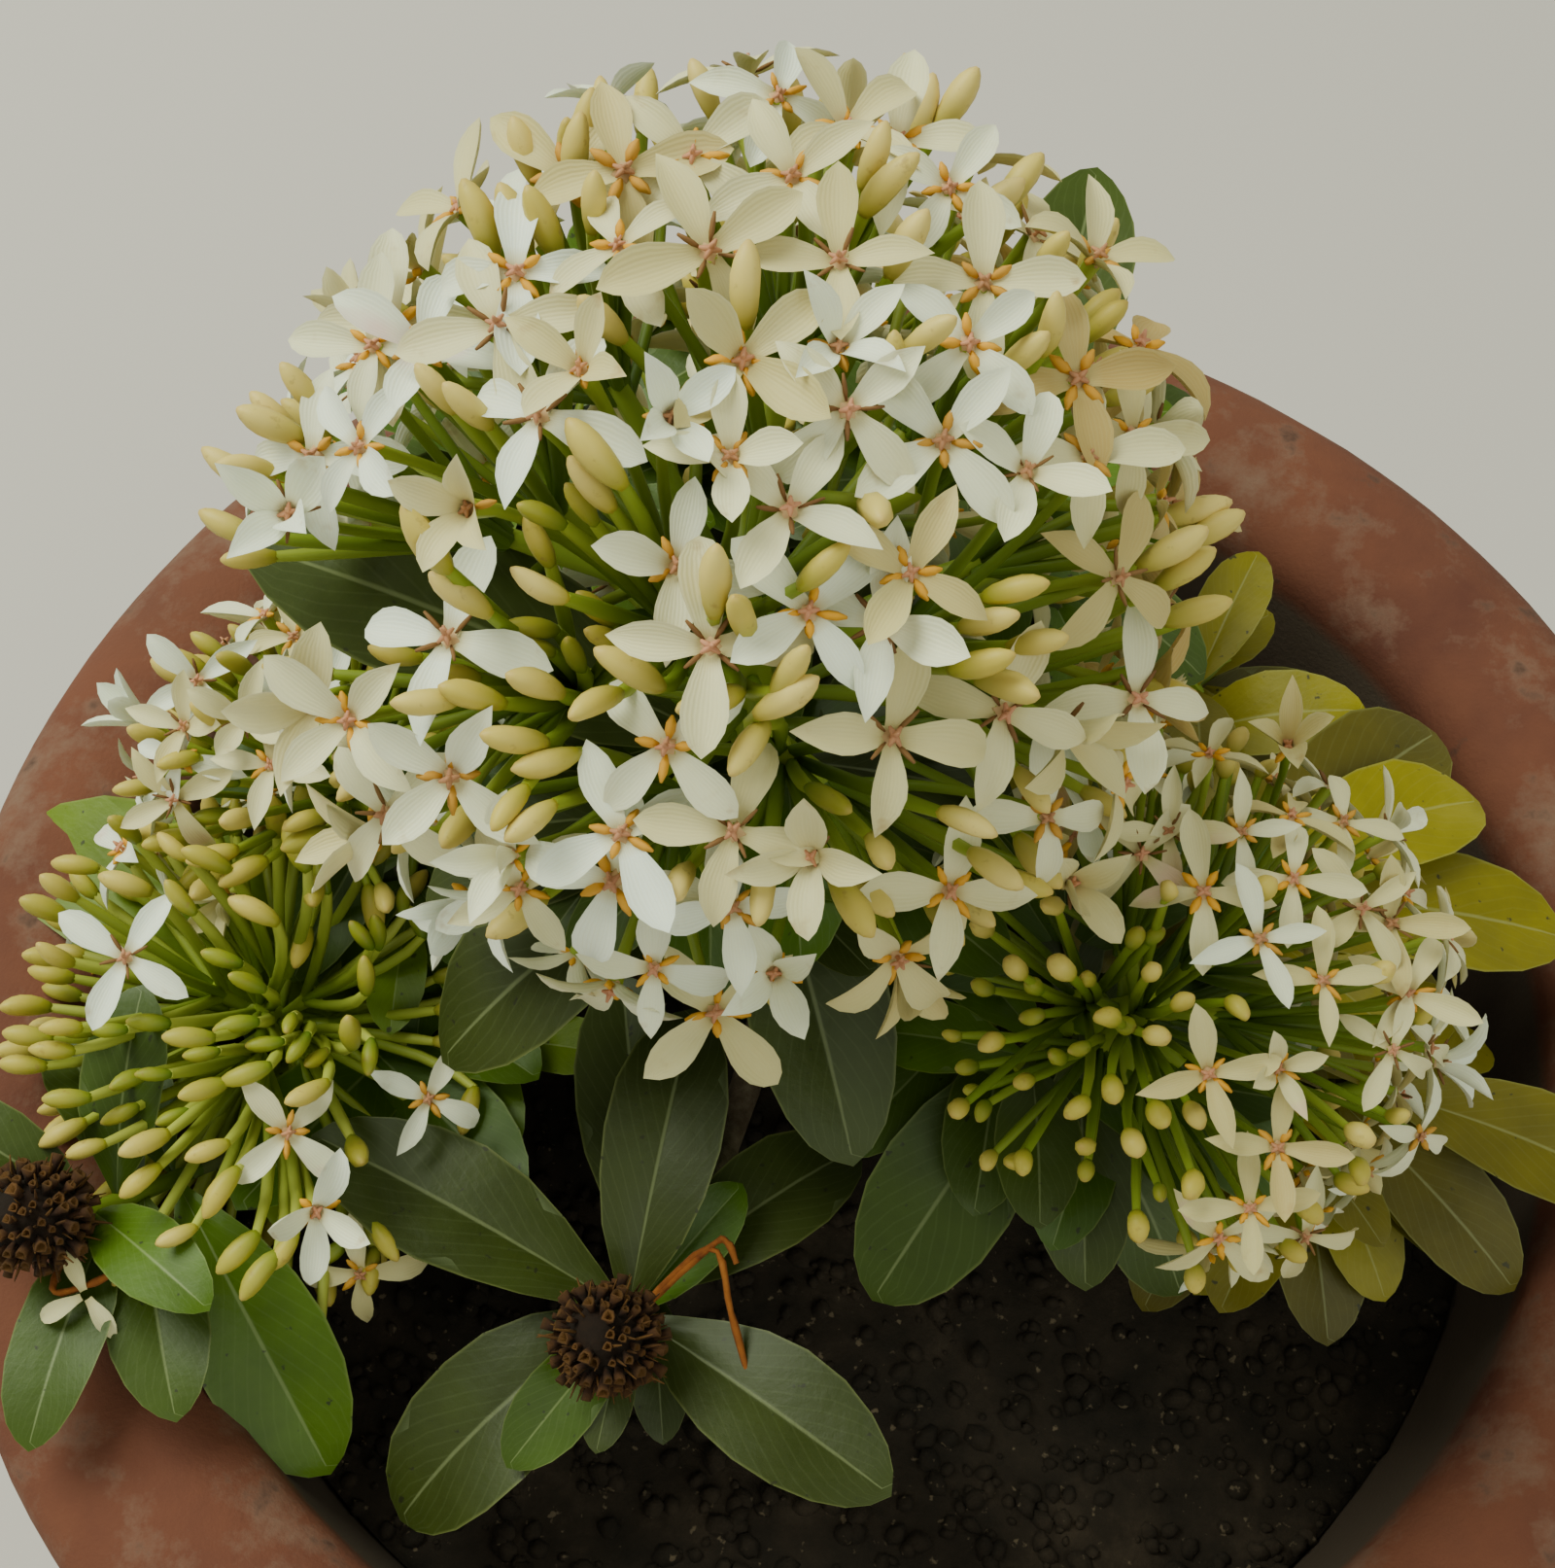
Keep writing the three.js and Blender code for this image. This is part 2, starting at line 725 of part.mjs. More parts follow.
// An open flower as one solid: a tube, and a star of four petals round its throat.
function openFlower(flower) {
  const { u, v, w } = frameOf(flower.facing);
  const corners = [];
  const add = (centre, x, y, z) =>
    corners.push(centre.clone().addScaledVector(u, x).addScaledVector(v, y).addScaledVector(w, z));
  const curl = jitter(flower.index, 10, cymeShape.curl);
  const notch = corolla.notch * Math.SQRT1_2;
  add(flower.place, 0, 0, corolla.throat);
  for (let petal = 0; petal < 4; petal += 1) {
    const turn = (flower.roll + petal * 90) * degree;
    const spot = (centre, along, across, up) =>
      add(
        centre,
        along * Math.cos(turn) - across * Math.sin(turn),
        along * Math.sin(turn) + across * Math.cos(turn),
        up,
      );
    spot(flower.place, corolla.widest, -corolla.halfWidth, curl * 0.3);
    spot(flower.place, corolla.petal, 0, curl);
    spot(flower.place, corolla.widest, corolla.halfWidth, curl * 0.3);
    spot(flower.place, notch, notch, 0);
    spot(flower.root, tube.halfWidth, tube.halfWidth, 0);
  }
  const triangles = [];
  const corner = (petal, k) => 1 + ((petal + 4) % 4) * 5 + k;
  for (let petal = 0; petal < 4; petal += 1) {
    const [low, tip, high, dip, root] = [0, 1, 2, 3, 4].map((k) => corner(petal, k));
    const [dipBefore, rootBefore] = [3, 4].map((k) => corner(petal - 1, k));
    triangles.push([0, dipBefore, low], [0, low, tip], [0, tip, high], [0, high, dip]);
    triangles.push([dipBefore, tip, low], [dipBefore, dip, tip], [dip, high, tip]);
    triangles.push([rootBefore, dip, dipBefore], [rootBefore, root, dip]);
  }
  triangles.push([corner(0, 4), corner(2, 4), corner(1, 4)]);
  triangles.push([corner(0, 4), corner(3, 4), corner(2, 4)]);
  return solidOf(corners, triangles);
}

function budFlower(flower) {
  const away = flower.place.clone().sub(flower.root).normalize();
  const along = (back) => flower.place.clone().addScaledVector(away, -back);
  return limb(
    [flower.root, along(bud.length), along(bud.length * 0.55), flower.place],
    [bud.neck, bud.neck, bud.radius, 0.5],
    3,
  );
}

// The flowers of a head that touch neither each other nor any piece made before.
function headSolid(head) {
  const axis = point(head.axis).normalize();
  const foot = point(head.foot);
  const parts = [neckSolid(head)];
  const knots = new Map();
  const blooms = [];
  for (const flower of flowersOf(head)) {
    const solid = flower.kind === "bud" ? budFlower(flower) : openFlower(flower);
    const box = solid.boundingBox();
    const apart = blooms.every(
      (bloom) =>
        bloom.cyme === flower.cyme ||
        boxesApart(box, bloom.box, 0) ||
        solid.minGap(bloom.solid, gap) > 0,
    );
    if (!apart || !isClear(solid, gap)) continue;
    blooms.push({ cyme: flower.cyme, solid, box });
    knots.set(flower.cyme, flower.knot);
  }
  for (const knot of knots.values()) {
    const climb = Math.max(0, knot.clone().sub(foot).dot(axis) * stalk.climb);
    const root = foot.clone().addScaledVector(axis, Math.min(climb, head.rise * stalk.highest));
    const end = knot.clone().addScaledVector(knot.clone().sub(root).normalize(), stalk.past);
    const solid = limb([root, end], [stalk.foot, stalk.radius], 3);
    if (isClear(solid, gap)) parts.push(solid);
  }
  return cutClear(wholeBody(parts.concat(blooms.map((bloom) => bloom.solid))));
}

for (const head of heads) {
  keep("head_" + head.name, headSolid(head), finishes.blossom);
}

// The part
const ixora = new THREE.Group();
for (const { name, solid, finish } of pieces) {
  const { vertProperties, triVerts } = solid.getMesh();
  const geometry = new THREE.BufferGeometry();
  geometry.setAttribute("position", new THREE.BufferAttribute(vertProperties, 3));
  geometry.setIndex(new THREE.BufferAttribute(triVerts, 1));
  geometry.computeVertexNormals();
  const mesh = new THREE.Mesh(geometry, new THREE.MeshStandardMaterial({ ...finish, metalness: 0 }));
  mesh.name = name;
  ixora.add(mesh);
}

export default ixora;
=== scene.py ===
import math

import bpy
from mathutils import Matrix, Vector, noise


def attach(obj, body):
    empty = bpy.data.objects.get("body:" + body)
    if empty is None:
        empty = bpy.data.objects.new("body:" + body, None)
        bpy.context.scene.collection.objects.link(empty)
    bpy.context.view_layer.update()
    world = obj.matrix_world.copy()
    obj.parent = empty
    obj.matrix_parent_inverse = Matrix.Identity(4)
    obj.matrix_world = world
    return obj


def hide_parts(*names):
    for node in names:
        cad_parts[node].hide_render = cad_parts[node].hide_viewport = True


# A dwarf white ixora in a round terracotta pot. The plant's rule and sizes are those of the
# part's source, in millimetres; every mesh is in metres.

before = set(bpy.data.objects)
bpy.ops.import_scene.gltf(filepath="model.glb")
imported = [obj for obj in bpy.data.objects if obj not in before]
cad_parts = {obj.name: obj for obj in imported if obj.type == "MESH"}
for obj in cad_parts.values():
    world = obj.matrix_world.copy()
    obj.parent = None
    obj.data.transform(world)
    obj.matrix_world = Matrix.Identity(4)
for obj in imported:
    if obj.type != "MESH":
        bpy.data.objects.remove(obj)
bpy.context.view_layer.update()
print("frame loaded with", len(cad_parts), "nodes")

millimetre = 0.001
goldenTurn = 137.508
upwards = Vector((0, 0, 1))
firstIndex = {"twigs": 2000, "finer": 4000, "seen": 9000}  # of what only this script grows


# The rule's random numbers: the same one for the same index and salt.
def chance(index, salt):
    wave = math.sin(index * 12.9898 + salt * 78.233) * 43758.5453
    return wave - math.floor(wave)


def jitter(index, salt, size):
    return (chance(index, salt) * 2 - 1) * size


# Three directions at right angles, the last of them along the axis.
def frameOf(axis):
    w = Vector(axis).normalized()
    u = (Vector((1, 0, 0)) - w * w.x).normalized()
    return u, w.cross(u), w


def directionIn(axes, fromAxis, turn):
    u, v, w = axes
    side = math.sin(math.radians(fromAxis))
    across = u * math.cos(math.radians(turn)) + v * math.sin(math.radians(turn))
    return across * side + w * math.cos(math.radians(fromAxis))


def mix(a, b, share):
    return a + (b - a) * share


def clamped(share):
    return min(1, max(0, share))


# Value of a curve given as (place, value) pairs.
def valueAt(pairs, place):
    for (start, low), (end, high) in zip(pairs, pairs[1:]):
        if place <= end:
            return mix(low, high, (place - start) / (end - start))
    return pairs[-1][1]


def linearColour(hexText):
    parts = [int(hexText[i:i + 2], 16) / 255 for i in (1, 3, 5)]
    return [p / 12.92 if p <= 0.04045 else ((p + 0.055) / 1.055) ** 2.4 for p in parts] + [1]


# Gives a socket its value or link. A node is linked by its first output in use, and a colour
# is hex text.
def feed(tree, socket, value):
    if isinstance(value, bpy.types.Node):
        value = next(output for output in value.outputs if output.enabled)
    if isinstance(value, bpy.types.NodeSocket):
        tree.links.new(value, socket)
    elif isinstance(value, str) and value.startswith("#"):
        socket.default_value = linearColour(value)
    else:
        socket.default_value = value


# Adds a node to a tree with its settings, its sockets' values or links, and a ramp's stops.
def addNode(tree, kind, sockets=None, stops=(), **settings):
    node = tree.nodes.new(kind)
    for name, value in settings.items():
        setattr(node, name, value)
    for name, value in (sockets or {}).items():
        feed(tree, node.inputs[name], value)
    if stops:
        marks = node.color_ramp.elements
        while len(marks) < len(stops):
            marks.new(0.5)
        for mark, (place, colour) in zip(marks, stops):
            mark.position = place
            mark.color = linearColour(colour)
    return node


def newMaterial(name, surface):
    material = bpy.data.materials.new(name)
    material.use_nodes = True
    tree = material.node_tree
    shader = tree.nodes["Principled BSDF"]
    for socket, value in surface.items():
        feed(tree, shader.inputs[socket], value)
    return material, tree, shader


# A value all over a surface: an attribute by its name, or a noise as (scale, detail,
# roughness). Anything else is already such a value.
def fieldOf(tree, source):
    if isinstance(source, str):
        return addNode(tree, "ShaderNodeAttribute", attribute_name=source).outputs["Fac"]
    if isinstance(source, tuple):
        place = addNode(tree, "ShaderNodeTexCoord").outputs["Object"]
        return addNode(tree, "ShaderNodeTexNoise", {
            "Vector": place, "Scale": source[0], "Detail": source[1], "Roughness": source[2]})
    return source


# Lays a colour over another: none of it where the source is low, most where it is high. A list
# is the stops of a ramp that follows the tint.
def layOver(tree, under, source, low, high, most, over):
    if isinstance(over, list):
        over = addNode(tree, "ShaderNodeValToRGB", {"Fac": fieldOf(tree, "tint")}, over)
    share = addNode(tree, "ShaderNodeMapRange", {
        "Value": fieldOf(tree, source), "From Min": low, "From Max": high, "To Max": most})
    return addNode(tree, "ShaderNodeMix", {0: share, 6: under, 7: over}, data_type="RGBA")


# Paints a surface with a colour and the layers over it; grain, as (source, strength, depth in
# metres), roughens it.
def paint(tree, shader, colour, layers, grain=None):
    for layer in layers:
        colour = layOver(tree, colour, *layer)
    feed(tree, shader.inputs["Base Color"], colour)
    if grain:
        source, strength, depth = grain
        bump = addNode(tree, "ShaderNodeBump", {
            "Height": fieldOf(tree, source), "Strength": strength, "Distance": depth})
        feed(tree, shader.inputs["Normal"], bump)


# A finish from what describes it; base is (source, stops of its ramp).
def makeFinish(name, surface, base, layers, grain=None):
    material, tree, shader = newMaterial(name, surface)
    colour = addNode(tree, "ShaderNodeValToRGB", {"Fac": fieldOf(tree, base[0])}, base[1])
    paint(tree, shader, colour, layers, grain)
    return material


# A smooth-shaded mesh from corners in millimetres.
def newMesh(name, corners, faces):
    mesh = bpy.data.meshes.new(name)
    mesh.from_pydata([Vector(c) * millimetre for c in corners], [], faces)
    mesh.update()
    mesh.shade_smooth()
    return mesh


def newObject(name, data, material=None):
    thing = bpy.data.objects.new(name, data)
    bpy.context.scene.collection.objects.link(thing)
    if material:
        data.materials.clear()
        data.materials.append(material)
    return thing


# Puts a finished piece on the body, in place of the nodes it stands for.
def givePlace(thing, slotName, *nodes):
    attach(thing, "root")
    if nodes:
        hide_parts(*nodes)


def storeValues(mesh, name, values, kind="FLOAT"):
    field = mesh.attributes.new(name, kind, "POINT")
    if kind == "FLOAT_VECTOR":
        field.data.foreach_set("vector", [number for value in values for number in value])
    else:
        field.data.foreach_set("value", values)


# A new Geometry Nodes tree with its named inputs and result, and what its start gives.
def newTree(name, result, **inputs):
    tree = bpy.data.node_groups.new(name, "GeometryNodeTree")
    for socket, kind in {**inputs, "Finish": "Material"}.items():
        tree.interface.new_socket(name=socket, in_out="INPUT", socket_type="NodeSocket" + kind)
    tree.interface.new_socket(name=result, in_out="OUTPUT", socket_type="NodeSocketGeometry")
    return tree, addNode(tree, "NodeGroupInput").outputs


# Sets the shapes of the tree's collection on points.
def setShapes(tree, start, points, turn, size, **choice):
    rotation = addNode(tree, "FunctionNodeEulerToRotation", {"Euler": turn})
    shapes = addNode(tree, "GeometryNodeCollectionInfo", {
        "Collection": start["Shapes"], "Separate Children": True, "Reset Children": True})
    return addNode(tree, "GeometryNodeInstanceOnPoints", {
        "Points": points, "Instance": shapes, "Pick Instance": True, "Rotation": rotation,
        "Scale": size, **choice})


# Ends a tree with real geometry that has its finish.
def endTree(tree, start, pieces, result):
    real = addNode(tree, "GeometryNodeRealizeInstances", {"Geometry": pieces})
    painted = addNode(tree, "GeometryNodeSetMaterial", {
        "Geometry": real, "Material": start["Finish"]})
    addNode(tree, "NodeGroupOutput", {result: painted})
    return tree


# Tree that sets shapes from a collection on points, each by the point's own attributes.
def buildScatterTree():
    tree, start = newTree("scatter shapes", "Pieces", Points="Geometry", Shapes="Collection",
                          Size="Float")
    turn, size, choice = [
        addNode(tree, "GeometryNodeInputNamedAttribute", {"Name": name}, data_type=kind)
        for name, kind in (("turn", "FLOAT_VECTOR"), ("size", "FLOAT_VECTOR"), ("shape", "INT"))]
    scaled = addNode(tree, "ShaderNodeVectorMath", {0: size, "Scale": start["Size"]},
                     operation="SCALE")
    placed = setShapes(tree, start, start["Points"], turn, scaled, **{"Instance Index": choice})
    return endTree(tree, start, placed, "Pieces")


# Tree that runs a round stem of varying thickness along every path.
def buildStemTree():
    tree, start = newTree("stems along paths", "Stems", Paths="Geometry", Sides="Int",
                          Size="Float")
    curves = addNode(tree, "GeometryNodeMeshToCurve", {"Mesh": start["Paths"]})
    thick = addNode(tree, "GeometryNodeInputNamedAttribute", {"Name": "thick"},
                    data_type="FLOAT")
    scaled = addNode(tree, "ShaderNodeMath", {0: thick, 1: start["Size"]},
                     operation="MULTIPLY")
    outline = addNode(tree, "GeometryNodeCurvePrimitiveCircle", {
        "Resolution": start["Sides"], "Radius": 1.0})
    swept = addNode(tree, "GeometryNodeCurveToMesh", {
        "Curve": curves, "Profile Curve": outline, "Scale": scaled, "Fill Caps": True})
    smooth = addNode(tree, "GeometryNodeSetShadeSmooth", {"Geometry": swept})
    return endTree(tree, start, smooth, "Stems")


# Runs a tree on a base mesh with the named inputs, and keeps the result as a plain mesh.
def grow(name, base, tree, material, inputs):
    carrier = bpy.data.objects.new(name + "_base", base)
    modifier = carrier.modifiers.new("grow", "NODES")
    modifier.node_group = tree
    known = {item.name: item.identifier for item in tree.interface.items_tree}
    for socket, value in {"Finish": material, **inputs}.items():
        modifier[known[socket]] = value
    bpy.context.scene.collection.objects.link(carrier)
    shown = carrier.evaluated_get(bpy.context.evaluated_depsgraph_get())
    mesh = bpy.data.meshes.new_from_object(shown)
    bpy.data.objects.remove(carrier)
    mesh.name = name
    mesh.materials.clear()
    mesh.polygons.foreach_set("material_index", [0] * len(mesh.polygons))
    return newObject(name, mesh, material)


scatterTree = buildScatterTree()
stemTree = buildStemTree()


# A spot is (place in mm, 3x3 turn, size, number of the shape, tint).
def scatter(name, spots, shapes, material):
    base = bpy.data.meshes.new(name + "_points")
    base.from_pydata([spot[0] * millimetre for spot in spots], [], [])
    storeValues(base, "turn", [spot[1].to_euler() for spot in spots], "FLOAT_VECTOR")
    storeValues(base, "size", [spot[2] for spot in spots], "FLOAT_VECTOR")
    storeValues(base, "shape", [spot[3] for spot in spots], "INT")
    storeValues(base, "tint", [spot[4] for spot in spots])
    return grow(name, base, scatterTree, material, {"Shapes": shapes, "Size": 1.0})


# A path is (points in mm, radii in mm, tint).
def stems(name, paths, sides, material):
    corners, edges, thick, place, tint = [], [], [], [], []
    for points, radii, shade in paths:
        first = len(corners)
        corners += [point * millimetre for point in points]
        edges += [(first + i, first + i + 1) for i in range(len(points) - 1)]
        thick += [radius * millimetre for radius in radii]
        place += [i / (len(points) - 1) for i in range(len(points))]
        tint += [shade] * len(points)
    base = bpy.data.meshes.new(name + "_paths")
    base.from_pydata(corners, edges, [])
    for field, values in (("thick", thick), ("place", place), ("tint", tint)):
        storeValues(base, field, values)
    return grow(name, base, stemTree, material, {"Sides": sides, "Size": 1.0})


# Points on a smooth bend that leaves the first point towards the bend and arrives at the last.
def bend(start, through, end, steps):
    return [start * (1 - t) ** 2 + through * (2 * t * (1 - t)) + end * t ** 2
            for t in (i / steps for i in range(steps + 1))]


# Points on a smooth curve through all the given ones.
def smoothThrough(points, steps):
    points = [Vector(p) for p in points]
    ends = [points[0] * 2 - points[1]] + points + [points[-1] * 2 - points[-2]]
    found = []
    for a, b, c, d in zip(ends, ends[1:], ends[2:], ends[3:]):
        for i in range(steps):
            t = i / steps
            found.append((b * 2 + (c - a) * t + (a * 2 - b * 5 + c * 4 - d) * t ** 2
                          + (b * 3 - a - c * 3 + d) * t ** 3) / 2)
    return found + [points[-1]]


# A thin closed blade such as a petal or a leaf, lying along +X with its face up. widths are
# shares of the half width, bends the slope in degrees, both along the blade.
def bladeMesh(name, blade, bends, twist=0.0, wave=0.0, seed=0):
    rows = [place for place, share in blade["widths"]]
    columns = blade["columns"]
    last = len(columns) - 1
    corners, fieldUv, under, rim = [], [], [], set()
    tops, bottoms = [], []
    x = z = before = 0.0
    for place, share in blade["widths"]:
        slope = math.radians(valueAt(bends, (place + before) / 2))
        x += math.cos(slope) * (place - before) * blade["length"]
        z += math.sin(slope) * (place - before) * blade["length"]
        before = place
        half = share * blade["width"] / 2
        lean = math.radians(twist * place)
        top, bottom = [], []
        for j, across in enumerate(columns):
            if half == 0 and j > 0:
                top.append(top[0])
                bottom.append(bottom[0])
                continue
            rise = half * (blade["fold"] * abs(across) + blade["cup"] * across * across)
            rise += wave * abs(across) * share * math.sin(
                place * 11 + seed * 2.1 + (j > last / 2) * 2)
            y = across * half
            spot = Vector((x - math.sin(slope) * rise, y * math.cos(lean) - rise * math.sin(lean),
                           z + math.cos(slope) * rise + y * math.sin(lean)))
            up = Vector((-math.sin(slope), -math.sin(lean), math.cos(slope)))
            edge = j in (0, last) or place in (rows[0], rows[-1])
            rib = blade["rib"] * (1 - place) if across == 0 else 0
            thick = 0 if edge else blade["thick"] * (1 - across * across) / 2
            top.append(len(corners))
            corners.append(spot + up * (thick - rib * 0.4))
            fieldUv.append((place, (across + 1) / 2))
            under.append(0.0)
            if edge:
                rim.add(top[-1])
                bottom.append(top[-1])
            else:
                bottom.append(len(corners))
                corners.append(spot - up * (thick + rib))
                fieldUv.append((place, (across + 1) / 2))
                under.append(1.0)
        tops.append(top)
        bottoms.append(bottom)
    faces = []
    for grid, flip in ((tops, False), (bottoms, True)):
        for near, far in zip(grid, grid[1:]):
            for j in range(last):
                face = [near[j], far[j], far[j + 1], near[j + 1]]
                face = [c for i, c in enumerate(face) if c not in face[:i]]
                faces.append(face[::-1] if flip else face)
    mesh = newMesh(name, corners, faces)
    storeValues(mesh, "under", under)
    sharp = mesh.attributes.new("sharp_edge", "BOOLEAN", "EDGE")
    sharp.data.foreach_set("value", [all(v in rim for v in e.vertices) for e in mesh.edges])
    layer = mesh.uv_layers.new(name="UVMap")
    for loop in mesh.loops:
        layer.data[loop.index].uv = fieldUv[loop.vertex_index]
    return mesh


# Directions all round, as (cosine, sine).
def allRound(count):
    turns = [2 * math.pi * side / count for side in range(count)]
    return [(math.cos(turn), math.sin(turn)) for turn in turns]


# Faces between rings of corners that follow each other; flip turns them over.
def ringFaces(rings, sides, first=0, flip=False):
    faces = []
    for ring in range(rings - 1):
        for side in range(sides):
            a = first + ring * sides + side
            b = first + ring * sides + (side + 1) % sides
            faces.append((a, a + sides, b + sides, b) if flip else (a, b, b + sides, a + sides))
    return faces


# The same with both ends closed.
def closedFaces(rings, sides):
    count = rings * sides
    return ringFaces(rings, sides) + [tuple(range(sides))[::-1],
                                      tuple(range(count - sides, count))]


# A closed round body from rings of (centre, radius, turn of its lobes in degrees).
def ringsMesh(name, rings, sides, lobes=0, depth=0.0):
    corners, place = [], []
    for number, (centre, radius, twist) in enumerate(rings):
        for side, (x, y) in enumerate(allRound(sides)):
            turn = 2 * math.pi * side / sides
            r = radius * (1 + depth * math.cos(lobes * (turn - math.radians(twist))))
            corners.append(Vector(centre) + Vector((x * r, y * r, 0)))
            place.append(number / (len(rings) - 1))
    mesh = newMesh(name, corners, closedFaces(len(rings), sides))
    storeValues(mesh, "place", place)
    return mesh


# A collection of shapes for the trees to pick from, in the order of its names.
def shapeSet(name, meshes):
    group = bpy.data.collections.new(name)
    for number, mesh in enumerate(meshes):
        group.objects.link(bpy.data.objects.new(f"{name} {number:02d}", mesh))
    return group


def joined(name, meshes):
    corners, faces, place = [], [], []
    for mesh in meshes:
        first = len(corners)
        corners += [v.co / millimetre for v in mesh.vertices]
        faces += [tuple(first + v for v in p.vertices) for p in mesh.polygons]
        place += [value.value for value in mesh.attributes["place"].data]
    whole = newMesh(name, corners, faces)
    storeValues(whole, "place", place)
    return whole


def turnTo(x, y, z):
    return Matrix((x, y, z)).transposed()


# Turn of a blade that points the given way, its face as level as that lets it be.
def levelTurn(way):
    flat = upwards.cross(way).normalized()
    return turnTo(way, flat, way.cross(flat))


# A direction square to the given one, at any turn round it.
def anyAcross(way, index, salt):
    return directionIn(frameOf(way), 90, chance(index, salt) * 360)


# The camera stands where the photograph was taken from, looking steeply down. Its focal
# length is in pixels of the photograph.
cameraSizes = {
    "place": (-16.7, -183.4, 715.9), "focal": 2400, "width": 1600, "height": 1613, "sensor": 36.0,
    "right": (0.998, 0.052, 0.028), "up": (-0.059, 0.878, 0.475),
}
eye = Vector(cameraSizes["place"])
cameraRight = Vector(cameraSizes["right"]).normalized()
cameraBack = cameraRight.cross(Vector(cameraSizes["up"])).normalized()
cameraAxes = (cameraRight, cameraBack.cross(cameraRight), cameraBack)


# Direction from the camera to a pixel of the photograph.
def sightLine(x, y):
    right, up, back = cameraAxes
    across = (x - cameraSizes["width"] / 2) / cameraSizes["focal"]
    down = (y - cameraSizes["height"] / 2) / cameraSizes["focal"]
    return (right * across - up * down - back).normalized()


# The place at a given height that is seen at a pixel.
def placeAt(pixel, height):
    ray = sightLine(*pixel)
    return eye + ray * ((height - eye.z) / ray.z)


# The pixel of the photograph at which a place is seen.
def pixelOf(place):
    right, up, back = cameraAxes
    away = (eye - place).dot(back)
    return (cameraSizes["width"] / 2 + cameraSizes["focal"] * (place - eye).dot(right) / away,
            cameraSizes["height"] / 2 - cameraSizes["focal"] * (place - eye).dot(up) / away)


